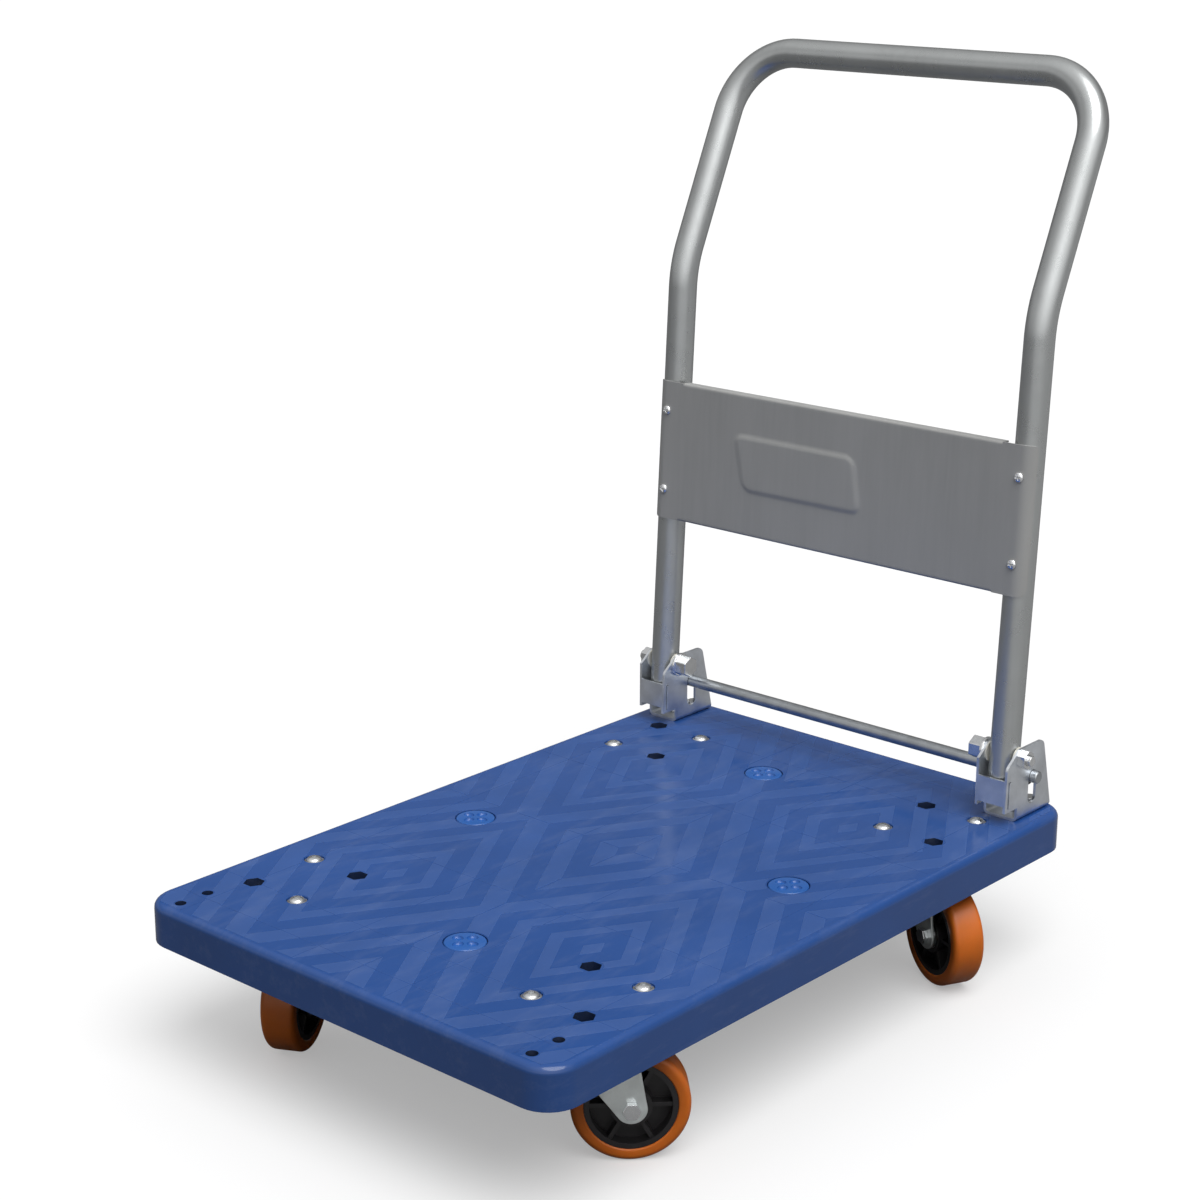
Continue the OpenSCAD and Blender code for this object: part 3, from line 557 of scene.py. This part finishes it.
def hole_cutter():
    """Upright prisms over all that is set into the deck's top face: fixings, plugs, holes and brackets."""
    bm = bmesh.new()
    low, high = DECK_Z - 2 * MM, DECK_Z + 2 * MM
    for node in ("bracket_left", "bracket_right"):
        lo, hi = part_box(node)
        c = middle(lo, hi)
        front, back = PIVOT.y - 3 * MM - SEAT_MARGIN, hi.y + SEAT_MARGIN
        w = (hi.x - lo.x) / 2 + SEAT_MARGIN
        pts = [(c.x - w, front), (c.x + w, front), (c.x + w, back), (c.x - w, back)]
        merge(bm, prism(pts, low, high))
    spots = [(middle(lo, hi), r) for node, r in CLEAR_R.items() for lo, hi in islands(node)]
    spots += [(hole, FRONT_HOLE_R) for hole in FRONT_HOLES]
    for c, r in spots:
        ring = [(c.x + x, c.y + y) for x, y in ring_points(r + CLEAR_MARGIN, 48)]
        merge(bm, prism(ring, low, high))
    return make_object("hole_cutter", bm, [])


def darken_holes(obj):
    """Paints shade on the walls of the deck's deep holes with a darker blue, as they get no light, and for the
    dirt they hold.
    """
    obj.data.materials.append(HOLE_SHADE_BLUE)
    spots = [(middle(lo, hi), POCKET_R) for lo, hi in islands("pocket_bolts")]
    spots += [(hole, FRONT_HOLE_R) for hole in FRONT_HOLES]
    for face in obj.data.polygons:
        c = face.center
        if DECK_Z - 20 * MM < c.z < DECK_Z - 0.7 * MM:
            if any(math.hypot(c.x - p.x, c.y - p.y) < r + WALL_MARGIN for p, r in spots):
                face.material_index = 1


def build_deck():
    """The moulded deck, the raised matte bands on its top face and the fine lines over its ribs."""
    darken_holes(clean_copy("deck", "deck_moulding", GLOSS_BLUE, 0.45 * MM, 2, 60))
    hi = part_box("deck")[1]
    x_out, y_out = hi.x - DECK_MARGIN, hi.y - DECK_MARGIN
    bands = bmesh.new()
    for x0, x1 in ((-x_out, -SEAM_HALF), (SEAM_HALF, x_out)):
        for y0, y1 in ((-y_out, -SEAM_HALF), (SEAM_HALF, y_out)):
            merge(bands, band_polygons(x0, x1, y0, y1))
    root, top = DECK_Z - RELIEF_ROOT, DECK_Z + RELIEF_H
    raise_faces(bands, root, DECK_Z + RELIEF_FOOT, top, RELIEF_EDGE)
    lines = line_grid(x_out, y_out)
    raise_faces(lines, root, top, top + LINE_RISE, LINE_EDGE)
    for name, mesh, material in (("deck_relief", bands, MATTE_SHEEN_BLUE), ("deck_lines", lines, GLOSS_BLUE)):
        obj = make_object(name, mesh, [material])
        cut(obj, hole_cutter())
        obj.data.set_sharp_from_angle(angle=math.radians(2))
        place(obj, [], "base")


def plug_cap():
    """Round cap with a snap-in stem and a rounded rim."""
    m, r, z = MM, PLUG_R, PLUG_SEAT
    profile = [(0, z - 9 * m), (10 * m, z - 9 * m), (11.8 * m, z - 8 * m), (11.8 * m, z)]
    profile += [(r - 0.3 * m, z), (r, z + 0.3 * m)]
    profile += arc(r - 1.4 * m, z + 1.8 * m, 1.4 * m, 0, 80, 6)
    profile += [(13 * m, z + 3.35 * m), (8 * m, z + 3.5 * m), (0, z + 3.55 * m)]
    return lathe(profile, 72)


def finger_pocket():
    """Cutter for one shallow oval pocket."""
    m = MM
    profile = [(0, -2.4 * m), (3.6 * m, -2.1 * m), (4.7 * m, -1.0 * m), (5.2 * m, 1.2 * m), (0, 1.2 * m)]
    return lathe(profile, 24)


def build_plugs():
    """The four round plugs in the deck, each with four finger pockets."""
    caps, pockets = bmesh.new(), bmesh.new()
    stretch = Matrix.Diagonal((1.05, 0.92, 1, 1))
    for lo, hi in islands("deck_plugs"):
        c = middle(lo, hi)
        merge(caps, plug_cap(), Matrix.Translation((c.x, c.y, 0)))
        for k in range(4):
            turn = Matrix.Rotation(math.pi / 2 * k, 4, "Z")
            cap = Matrix.Translation((c.x, c.y, DECK_Z + 0.4 * MM))
            merge(pockets, finger_pocket(), cap @ turn @ Matrix.Translation((FINGER_AT, 0, 0)) @ stretch)
    obj = make_object("deck_caps", caps, [PLUG_BLUE], 40)
    cut(obj, make_object("pockets", pockets, []))
    soften(obj, 0.35 * MM, 2, 35)
    place(obj, ["deck_plugs"], "base")


# ---------- Fixings ----------

SCREW_SEAT = DECK_Z - 1.7 * MM
SOCKET_R = 2.9 * MM
PAN_R, PAN_H = 4.6 * MM, 2.7 * MM
CROSS_REACH, CROSS_HALF = 2.3 * MM, 0.42 * MM
CROSS_TURN = 0.35


def button_screw(low):
    """Flanged button-head screw in the deck, its shank down to `low`."""
    m, seat = MM, SCREW_SEAT
    profile = [(0, low), (3.4 * m, low), (4 * m, low + 0.6 * m), (4 * m, seat)]
    profile += [(8.3 * m, seat), (8.7 * m, seat + 0.4 * m), (8.6 * m, seat + 0.8 * m)]
    profile += [(6.9 * m, seat + 1.2 * m)]
    profile += dome(6.9 * m, seat + 1.2 * m, 3.1 * m, (15, 30, 45, 58))
    profile += [(3.2 * m, seat + 4.05 * m), (2.9 * m, seat + 4.0 * m), (0, seat + 4.0 * m)]
    return lathe(profile, 40)


def build_deck_screws():
    """The button-head screws seen on the deck, with their hexagon sockets."""
    screws, sockets = bmesh.new(), bmesh.new()
    for lo, hi in islands("caster_screws"):
        c = middle(lo, hi)
        merge(screws, button_screw(lo.z), Matrix.Translation((c.x, c.y, 0)))
        hexa = [(c.x + x, c.y + y) for x, y in ring_points(SOCKET_R, 6, 0.3)]
        merge(sockets, prism(hexa, SCREW_SEAT + 1.8 * MM, SCREW_SEAT + 6 * MM))
    obj = make_object("deck_screws", screws, [BRIGHT_STEEL], 40)
    cut(obj, make_object("sockets", sockets, []))
    soften(obj, 0.2 * MM, 2, 40)
    place(obj, ["caster_screws"], "base")


def pan_head(r, h):
    """Pan-head screw above z = 0 with a short shank below."""
    m = MM
    profile = [(0, -9.5 * m), (1.2 * m, -9.5 * m), (2.4 * m, -8.2 * m), (2.4 * m, 0)]
    profile += [(r, 0), (r + 0.1 * m, 0.5 * m)]
    profile += dome(r, 0.6 * m, h - 0.6 * m, (12, 28, 44, 60, 76))
    profile += [(0, h)]
    return lathe(profile, 32)


def build_panel_screws():
    """Pan-head screws with cross recesses that hold the panel to the legs."""
    screws, slots = bmesh.new(), bmesh.new()
    a, b = CROSS_REACH, CROSS_HALF
    arm = [(a, b), (b, b), (b, a)]
    half = arm + [(-x, y) for x, y in arm[::-1]]
    cross = half + [(x, -y) for x, y in half[::-1]]
    face = -(TUBE_R + 1.65 * MM)
    inv = HANDLE.inverted()
    for lo, hi in islands("panel_screws"):
        c = inv @ middle(lo, hi)
        at = HANDLE @ Matrix.Translation((c.x, face, c.z)) @ Matrix.Rotation(math.pi / 2, 4, "X")
        merge(screws, pan_head(PAN_R, PAN_H), at)
        merge(slots, prism(cross, 1.4 * MM, 4 * MM), at @ Matrix.Rotation(CROSS_TURN, 4, "Z"))
    obj = make_object("panel_screw_heads", screws, [BRIGHT_STEEL], 40)
    cut(obj, make_object("cross_slots", slots, []))
    place(obj, ["panel_screws"], "handle")


# ---------- Handle ----------

UPPER_LEAN = math.radians(24.2)
TUBE_WALL = 1.5 * MM
KINK_R = 120 * MM
BEND_R = 63 * MM
KINK_RISE = 468 * MM
TOP_RISE = 671 * MM
LEG_END = 29.5 * MM
BEVEL_A = math.radians(36.2)
BEVEL_Z = -19.5 * MM
PIVOT_HOLE_R = 5.05 * MM


def handle_path():
    """Centreline of the whole handle tube in the handle's frame, from the left foot to the right foot."""
    leg_len = (KINK_RISE - (PIVOT.z - DECK_Z)) / math.cos(LEAN)
    kink = UPPER_LEAN - LEAN
    kink_cut = KINK_R * math.tan(kink / 2)
    upper = (TOP_RISE - KINK_RISE) / math.cos(UPPER_LEAN)
    up = Vector((0, math.sin(kink), math.cos(kink)))
    pts = [Vector((-LEG_X, 0, -LEG_END)), Vector((-LEG_X, 0, -LEG_END / 2))]
    straight = leg_len - kink_cut
    pts += [Vector((-LEG_X, 0, straight * i / 12)) for i in range(12)]
    for i in range(13):
        a = kink * i / 12
        pts.append(Vector((-LEG_X, KINK_R * (1 - math.cos(a)), straight + KINK_R * math.sin(a))))
    knee = Vector((-LEG_X, 0, leg_len))
    bend = knee + up * (upper - BEND_R)
    start = pts[-1]
    pts += [start.lerp(bend, i / 6) for i in range(1, 6)]
    for i in range(25):
        a = math.pi / 2 * i / 24
        pts.append(bend + Vector((1, 0, 0)) * BEND_R * (1 - math.cos(a)) + up * BEND_R * math.sin(a))
    pts += [Vector((pts[-1].x * (1 - i / 4), pts[-1].y, pts[-1].z)) for i in range(1, 4)]
    mirrored = [Vector((-p.x, p.y, p.z)) for p in pts[::-1]]
    centre = Vector((0, pts[-1].y, pts[-1].z))
    return pts + [centre] + mirrored


def sweep(path, radii, sides):
    """Bmesh swept along a path: the first radius is the skin, a second one is the bore."""
    bm = bmesh.new()
    tangents = []
    for i, p in enumerate(path):
        a, b = path[max(i - 1, 0)], path[min(i + 1, len(path) - 1)]
        tangents.append((b - a).normalized())
    side = Vector((0, 1, 0))
    skins = [[] for _ in radii]
    for p, t in zip(path, tangents):
        side = (side - t * side.dot(t)).normalized()
        other = t.cross(side)
        for rings, r in zip(skins, radii):
            turn = [2 * math.pi * k / sides for k in range(sides)]
            rings.append([bm.verts.new(p + (side * math.cos(a) + other * math.sin(a)) * r) for a in turn])
    for rings in skins:
        for a, b in zip(rings, rings[1:]):
            for k in range(sides):
                j = (k + 1) % sides
                bm.faces.new((a[k], a[j], b[j], b[k]))
    for end in (0, -1):
        if len(skins) == 1:
            bm.faces.new(skins[0][end])
            continue
        outer, inner = skins[0][end], skins[1][end]
        for k in range(sides):
            j = (k + 1) % sides
            bm.faces.new((outer[k], outer[j], inner[j], inner[k]))
    return bm


def build_handle_tube():
    """The bent push handle, with its lower rear corners cut away and its pivot holes."""
    bm = sweep(handle_path(), (TUBE_R, TUBE_R - TUBE_WALL), 56)
    obj = make_object("handle_bar", bm, [TUBE_PAINT], 40)
    cutters = bmesh.new()
    size = 28 * MM
    for s in (-1, 1):
        box = [(-size, -3 * size), (size, -3 * size), (size, size), (-size, size)]
        at = Matrix.Translation((s * LEG_X, TUBE_R, BEVEL_Z)) @ Matrix.Rotation(BEVEL_A, 4, "X")
        merge(cutters, prism(box, -2 * size, 0), at)
        hole = lathe([(0, -size), (PIVOT_HOLE_R, -size), (PIVOT_HOLE_R, size), (0, size)], 40)
        merge(cutters, hole, Matrix.Translation((s * LEG_X, 0, 0)) @ Matrix.Rotation(math.pi / 2, 4, "Y"))
    cut(obj, make_object("tube_cutters", cutters, []))
    obj.data.transform(HANDLE)
    obj.data.shade_smooth()
    obj.data.set_sharp_from_angle(angle=math.radians(35))
    place(obj, ["handle_tube"], "handle")


# Height of the panel's lower edge over the deck, measured upright
PANEL_LOW = 215 * MM
PANEL_H = 139 * MM
PANEL_T = 1.5 * MM
PANEL_ROWS, PANEL_STEPS, WRAP_STEPS = 70, 150, 14
PANEL_LIP = 10 * MM
PANEL_LIP_X = 186 * MM
PANEL_WRAP = math.radians(60)
LIP_R = 2.4 * MM
# Corners of the raised boss on the panel, in mm from the panel's middle and lower edge
EMBOSS = ((-118, 98), (24, 98), (35, 46), (-104, 45))
EMBOSS_R = 9 * MM
EMBOSS_H = 1.3 * MM
EMBOSS_SLOPE = 5 * MM


def emboss_height(x, z):
    """How far the panel's face stands out at (x, z): a soft-edged four-sided boss with rounded corners."""
    corners = [Vector((a * MM, b * MM)) for a, b in EMBOSS]
    p = Vector((x, z))
    short = 0.0
    for a, b in zip(corners, corners[1:] + corners[:1]):
        d = (b - a).normalized()
        inside = d.y * (p - a).x - d.x * (p - a).y
        short += max(0.0, EMBOSS_R - inside) ** 2
    share = max(0.0, min(1.0, (EMBOSS_R - math.sqrt(short)) / EMBOSS_SLOPE + 0.5))
    return EMBOSS_H * share * share * (3 - 2 * share)


def panel_columns():
    """Columns across the sheet's outer face, left to right: x, y, normal's x and y, way to the nearer end."""
    r = TUBE_R + 0.05 * MM + PANEL_T
    columns = []
    for i in range(WRAP_STEPS):
        a = PANEL_WRAP * (1 - i / WRAP_STEPS)
        nx, ny = -math.sin(a), -math.cos(a)
        columns.append((-LEG_X + r * nx, r * ny, nx, ny, r * (PANEL_WRAP - a)))
    mirrored = [(-x, y, -nx, ny, end) for x, y, nx, ny, end in columns[::-1]]
    lip = PANEL_LIP_X / MM
    spots = {round((-LEG_X + 2 * LEG_X * i / PANEL_STEPS) / MM, 3) for i in range(PANEL_STEPS + 1)}
    spots = {x for x in spots if abs(abs(x) - lip) > 1.0} | {lip, -lip}
    for x in sorted(spots):
        columns.append((x * MM, -r, 0.0, -1.0, r * PANEL_WRAP + (LEG_X - abs(x * MM))))
    return columns + mirrored


def corner_cut(end, r):
    """Height lost at a rounded corner, at a distance from the sheet's end."""
    if end >= r:
        return 0.0
    return r - math.sqrt(max(0.0, r * r - (r - end) ** 2))


def lip_verts(bm, x, y, z0):
    """Vertices of the folded lips behind one column, for the top edge and the bottom edge."""
    top, low = [], []
    for a in (math.radians(v) for v in (22.5, 45, 67.5, 90)):
        back, rise = LIP_R * (1 - math.cos(a)), LIP_R * math.sin(a)
        top.append(bm.verts.new((x, y + back, z0 + PANEL_H - LIP_R + rise)))
        low.append(bm.verts.new((x, y + back, z0 + LIP_R - rise)))
    for reach in (0.5, 1.0):
        depth = LIP_R + (PANEL_LIP - LIP_R) * reach
        top.append(bm.verts.new((x, y + depth, z0 + PANEL_H)))
        low.append(bm.verts.new((x, y + depth, z0)))
    return top, low


def panel_column(bm, z0, x, y, nx, ny, end):
    """Vertices of one column: its face, its top edge and its bottom edge, each edge plain or lipped."""
    low, high = corner_cut(end, 8 * MM), PANEL_H - corner_cut(end, 4 * MM)
    z_low, z_high = max(low, LIP_R), min(high, PANEL_H - LIP_R)
    flat = ny < -0.999
    face = []
    for k in range(PANEL_ROWS + 1):
        z = z_low + (z_high - z_low) * k / PANEL_ROWS
        out = emboss_height(x, z) if flat else 0.0
        face.append(bm.verts.new((x + nx * out, y + ny * out, z0 + z)))
    plain_top = bm.verts.new((x, y, z0 + high))
    plain_low = bm.verts.new((x, y, z0 + low)) if low < LIP_R - WELD else None
    lipped = abs(x) <= PANEL_LIP_X + WELD and flat
    lip_top, lip_low = lip_verts(bm, x, y, z0) if lipped else ([], [])
    return face, (plain_top, lip_top), (plain_low, lip_low)


def strip(bm, a, b):
    """Faces between two rows of vertices."""
    for k in range(len(a) - 1):
        bm.faces.new([a[k], b[k], b[k + 1], a[k + 1]])


def edge_strip(bm, rim_a, rim_b, edge_a, edge_b):
    """Faces from the rim of two neighbouring columns to their lips or plain edges."""
    (plain_a, lip_a), (plain_b, lip_b) = edge_a, edge_b
    if lip_a and lip_b:
        strip(bm, [rim_a] + lip_a, [rim_b] + lip_b)
    elif plain_a and plain_b:
        strip(bm, [rim_a, plain_a], [rim_b, plain_b])
    elif plain_a or plain_b:
        bm.faces.new([v for v in (rim_a, rim_b, plain_b, plain_a) if v])


def panel_sheet():
    """Bmesh of the panel's outer face, its normals towards the front."""
    z0 = (PANEL_LOW - (PIVOT.z - DECK_Z)) / math.cos(LEAN)
    bm = bmesh.new()
    columns = [panel_column(bm, z0, *column) for column in panel_columns()]
    for (face_a, top_a, low_a), (face_b, top_b, low_b) in zip(columns, columns[1:]):
        strip(bm, face_a, face_b)
        edge_strip(bm, face_a[-1], face_b[-1], top_a, top_b)
        edge_strip(bm, face_a[0], face_b[0], low_a, low_b)
    bmesh.ops.delete(bm, geom=[v for v in bm.verts if not v.link_faces], context="VERTS")
    bmesh.ops.recalc_face_normals(bm, faces=bm.faces)
    front = [f for f in bm.faces if f.normal.y < -0.9]
    if len(front) < len(bm.faces) / 2:
        bmesh.ops.reverse_faces(bm, faces=bm.faces)
    return bm


def build_panel():
    """The pressed back panel: folded lips, ends curled round the legs, raised boss."""
    bm = panel_sheet()
    mesh = bpy.data.meshes.new("back_sheet")
    bm.to_mesh(mesh)
    bm.free()
    mesh.materials.append(PANEL_PAINT)
    obj = bpy.data.objects.new("back_sheet", mesh)
    bpy.context.scene.collection.objects.link(obj)
    mod = obj.modifiers.new("thickness", "SOLIDIFY")
    mod.thickness = PANEL_T
    mod.offset = -1
    apply_modifiers(obj)
    soften(obj, 0.3 * MM, 2, 60)
    obj.data.transform(HANDLE)
    place(obj, ["back_panel"], "handle")


# ---------- Brackets, pivots and foot rod ----------


def build_brackets():
    """The hinge brackets and the bolts, nuts and washers of brackets and pivots."""
    for side in ("left", "right"):
        clean_copy(f"bracket_{side}", f"hinge_bracket_{side}", BRIGHT_ZINC, 0.5 * MM, 2, 50)
    clean_copy("bracket_bolts", "bracket_bolt_heads", BRIGHT_STEEL, 0.6 * MM)
    clean_copy("bracket_nuts", "bracket_nut_set", BRIGHT_STEEL, 0.4 * MM)
    clean_copy("pivot_bolts", "pivot_bolt_pair", BRIGHT_STEEL, 0.7 * MM, 3)
    clean_copy("pivot_nuts", "pivot_nut_pair", BRIGHT_STEEL, 0.5 * MM)
    clean_copy("pivot_washers", "pivot_washer_set", NYLON, 0.2 * MM)


def build_rod():
    """The foot rod with its rings, and its two return springs."""
    clean_copy("foot_rod", "foot_bar", DULL_ZINC, 0.2 * MM)
    clean_copy("rod_clips", "rod_rings", DARK_STEEL, 0.2 * MM)
    for side in ("left", "right"):
        obj = clean_copy(f"rod_spring_{side}", f"return_spring_{side}", BRIGHT_STEEL, 0)
        obj.data.shade_smooth()
        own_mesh(obj)


# ---------- Casters ----------


def wheel_matrix(corner):
    """Places a shape turned about +Z on a wheel's axle."""
    axis = Vector(JOINTS[f"spin_{corner}"]["axis"])
    lo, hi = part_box(f"tread_{corner}")
    return Matrix.Translation(middle(lo, hi)) @ axis.to_track_quat("Z", "Y").to_matrix().to_4x4()


def build_tread(corner):
    """Cast tyre: flat-sided, slightly crowned, with rounded shoulders and a small lip at the rim."""
    m = MM
    lo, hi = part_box(f"tread_{corner}")
    r = (hi.z - lo.z) / 2
    half, inner, edge = 15.5 * m, 38.05 * m, 5 * m
    top = [(inner, half - 1.2 * m), (inner + 0.5 * m, half - 0.3 * m), (inner + 1.2 * m, half)]
    top += [(r - edge - 0.6 * m, half)] + arc(r - edge, half - edge, edge, 88, 4, 10)
    top += [(r - 0.02 * m, 7 * m), (r, 3 * m)]
    profile = top + [(x, -z) for x, z in top[::-1]]
    bm = lathe(profile, 128, closed=True)
    bmesh.ops.transform(bm, matrix=wheel_matrix(corner), verts=bm.verts)
    obj = make_object(f"tyre_{corner}", bm, [TREAD], 45)
    place(obj, [f"tread_{corner}"], f"wheel_{corner}")


def dress(node, material):
    """Gives a CAD node that is shown as it is a finished material."""
    for slot in frame["nodes"][node].material_slots:
        slot.material = material


def build_casters():
    """The four casters, the nuts that hold them and the bolts in the deck's pockets."""
    carried = [(node, BRIGHT_STEEL) for node in ("axle_sleeve", "bearings", "balls")]
    carried.append(("kingpin", FORK_ZINC))
    for corner in CORNERS:
        build_tread(corner)
        clean_copy(f"hub_{corner}", f"wheel_centre_{corner}", HUB, 0.8 * MM, 3)
        clean_copy(f"fork_{corner}", f"caster_fork_{corner}", FORK_ZINC, 0.6 * MM, 2, 50)
        clean_copy(f"plate_{corner}", f"caster_plate_{corner}", FORK_ZINC, 0.5 * MM, 2, 50)
        clean_copy(f"axle_bolt_{corner}", f"axle_screw_{corner}", BRIGHT_STEEL, 0.5 * MM)
        clean_copy(f"axle_nut_{corner}", f"axle_hex_{corner}", BRIGHT_STEEL, 0.5 * MM)
        for node, material in carried:
            dress(f"{node}_{corner}", material)
    clean_copy("caster_nuts", "caster_nut_set", BRIGHT_STEEL, 0.5 * MM)
    clean_copy("pocket_bolts", "pocket_bolt_set", DARK_STEEL, 0.5 * MM)


# ---------- Stage ----------

CAMERA_AT = (1.3569, -1.5618, 1.0053)
CAMERA_AZIMUTH, CAMERA_ELEVATION, CAMERA_ROLL = 41.67, 16.87, -0.17
LENS, SENSOR = 74.44, 36
# Greys of the floor for the camera, for mirrors at the left and at the right, and for bounced light
FLOOR_SEEN, FLOOR_LEFT, FLOOR_RIGHT, FLOOR_BOUNCE = 0.60, 0.19, 0.38, 0.05
FLOOR_GLOW = 0.36
# Grey levels of the sky by the ray's upward part: 0 at the horizon and 1 overhead
DIFFUSE_SKY = ((0.0, 0.05), (0.35, 0.20), (0.62, 0.68), (1.0, 0.66))
MIRROR_SKY = ((0.0, 0.16), (0.31, 0.27), (0.46, 0.10), (0.7, 0.45), (1.0, 0.60))
# Direction, narrowness and strength of the soft glows that only mirrored light sees
MIRROR_GLOWS = (((-0.3, -0.94, 0.15), 1.0, 0.40), ((0.78, -0.47, 0.41), 2.0, 1.15))
SUN_AZIMUTH, SUN_ELEVATION = 70, 62
SUN_ENERGY, SUN_SPREAD = 2.1, 50
FLOOR_SIZE = 30
WHITE = (1.0, 1.0, 1.0)


def direction(azimuth, elevation):
    """Unit vector towards a place given in degrees, azimuth counted from -Y towards +X."""
    a, e = math.radians(azimuth), math.radians(elevation)
    return Vector((math.sin(a) * math.cos(e), -math.cos(a) * math.cos(e), math.sin(e)))


def build_camera():
    """The camera, turned by its azimuth, elevation and roll."""
    back = direction(CAMERA_AZIMUTH, CAMERA_ELEVATION)
    right = (-back).cross(Vector((0, 0, 1))).normalized()
    up = right.cross(-back)
    turn = Matrix.Rotation(-math.radians(CAMERA_ROLL), 3, "Z")
    base = Matrix((right, up, back)).transposed() @ turn
    data = bpy.data.cameras.new("camera")
    data.lens = LENS
    data.sensor_width = SENSOR
    cam = bpy.data.objects.new("camera", data)
    cam.matrix_world = Matrix.Translation(CAMERA_AT) @ base.to_4x4()
    bpy.context.scene.collection.objects.link(cam)
    bpy.context.scene.camera = cam


def build_floor():
    """Pale floor for the camera; bounced and mirrored light sees a darker one, brighter towards +X."""
    s = Shader("floor_pale")
    cloud = s.spread(s.noise(1.5, 3), 0.97, 1.03)
    path = s.node("ShaderNodeLightPath")
    side = s.node("ShaderNodeSeparateXYZ")
    s.join(s.coord, side.inputs[0])
    mirrored = s.mix(s.spread(side.outputs["X"], 0, 1, -0.3, 0.8), (FLOOR_LEFT,) * 3, (FLOOR_RIGHT,) * 3)
    bounced = s.mix(path.outputs["Is Diffuse Ray"], mirrored, (FLOOR_BOUNCE,) * 3)
    colour = s.mix(path.outputs["Is Camera Ray"], bounced, (FLOOR_SEEN,) * 3)
    s.set(Base_Color=colour, Roughness=s.math("MULTIPLY", cloud, 0.85), Specular_IOR_Level=0.0)
    glow = s.math("MULTIPLY", path.outputs["Is Camera Ray"], FLOOR_GLOW)
    s.set(Emission_Color=WHITE, Emission_Strength=glow)
    bm = bmesh.new()
    bmesh.ops.create_grid(bm, x_segments=8, y_segments=8, size=FLOOR_SIZE)
    make_object("floor", bm, [s.mat])


def ramp_node(tree, source, stops):
    """Grey colour ramp from (position, level) stops."""
    ramp = tree.nodes.new("ShaderNodeValToRGB")
    tree.links.new(source, ramp.inputs[0])
    elements = ramp.color_ramp.elements
    for element, (spot, level) in zip(elements, (stops[0], stops[-1])):
        element.position, element.color = spot, (level, level, level, 1)
    for spot, level in stops[1:-1]:
        elements.new(spot).color = (level, level, level, 1)
    return ramp.outputs[0]


def mix_node(tree, factor, first, second):
    """Colour mix of an output with another output or a colour."""
    mix = tree.nodes.new("ShaderNodeMix")
    mix.data_type = "RGBA"
    tree.links.new(factor, mix.inputs[0])
    tree.links.new(first, mix.inputs[6])
    if isinstance(second, tuple):
        mix.inputs[7].default_value = (*second, 1)
    else:
        tree.links.new(second, mix.inputs[7])
    return mix.outputs[2]


def glow_node(tree, towards, spot, power, strength):
    """Soft glow round one direction: strength * max(0, cosine) ** power."""
    dot = tree.nodes.new("ShaderNodeVectorMath")
    dot.operation = "DOT_PRODUCT"
    tree.links.new(towards, dot.inputs[0])
    dot.inputs[1].default_value = spot
    value = dot.outputs["Value"]
    for operation, operand in (("MAXIMUM", 0.0), ("POWER", power), ("MULTIPLY", strength)):
        math_node = tree.nodes.new("ShaderNodeMath")
        math_node.operation = operation
        tree.links.new(value, math_node.inputs[0])
        math_node.inputs[1].default_value = operand
        value = math_node.outputs[0]
    return value


def build_world():
    """White for the camera, a sky bright overhead for diffuse light, a sky with glows for mirrors."""
    world = bpy.data.worlds.new("studio")
    bpy.context.scene.world = world
    world.use_nodes = True
    tree = world.node_tree
    back = tree.nodes["Background"]
    towards = tree.nodes.new("ShaderNodeTexCoord").outputs["Generated"]
    split = tree.nodes.new("ShaderNodeSeparateXYZ")
    tree.links.new(towards, split.inputs[0])
    path = tree.nodes.new("ShaderNodeLightPath")
    total = ramp_node(tree, split.outputs["Z"], MIRROR_SKY)
    for glow in MIRROR_GLOWS:
        add = tree.nodes.new("ShaderNodeVectorMath")
        tree.links.new(total, add.inputs[0])
        tree.links.new(glow_node(tree, towards, *glow), add.inputs[1])
        total = add.outputs[0]
    diffuse = ramp_node(tree, split.outputs["Z"], DIFFUSE_SKY)
    sky = mix_node(tree, path.outputs["Is Glossy Ray"], diffuse, total)
    seen = mix_node(tree, path.outputs["Is Camera Ray"], sky, WHITE)
    tree.links.new(seen, back.inputs["Color"])
    back.inputs["Strength"].default_value = 1.0


def build_sun():
    """The one lamp: a very soft sun from high on the +X side."""
    sun = bpy.data.lights.new("key", "SUN")
    sun.energy = SUN_ENERGY
    sun.angle = math.radians(SUN_SPREAD)
    lamp = bpy.data.objects.new("key", sun)
    lamp.rotation_mode = "QUATERNION"
    lamp.rotation_quaternion = direction(SUN_AZIMUTH, SUN_ELEVATION).to_track_quat("Z", "Y")
    bpy.context.scene.collection.objects.link(lamp)


build_deck()
build_plugs()
build_deck_screws()
build_handle_tube()
build_panel()
build_panel_screws()
build_brackets()
build_rod()
build_casters()
build_camera()
build_floor()
build_world()
build_sun()
bpy.context.scene.view_settings.view_transform = "Standard"
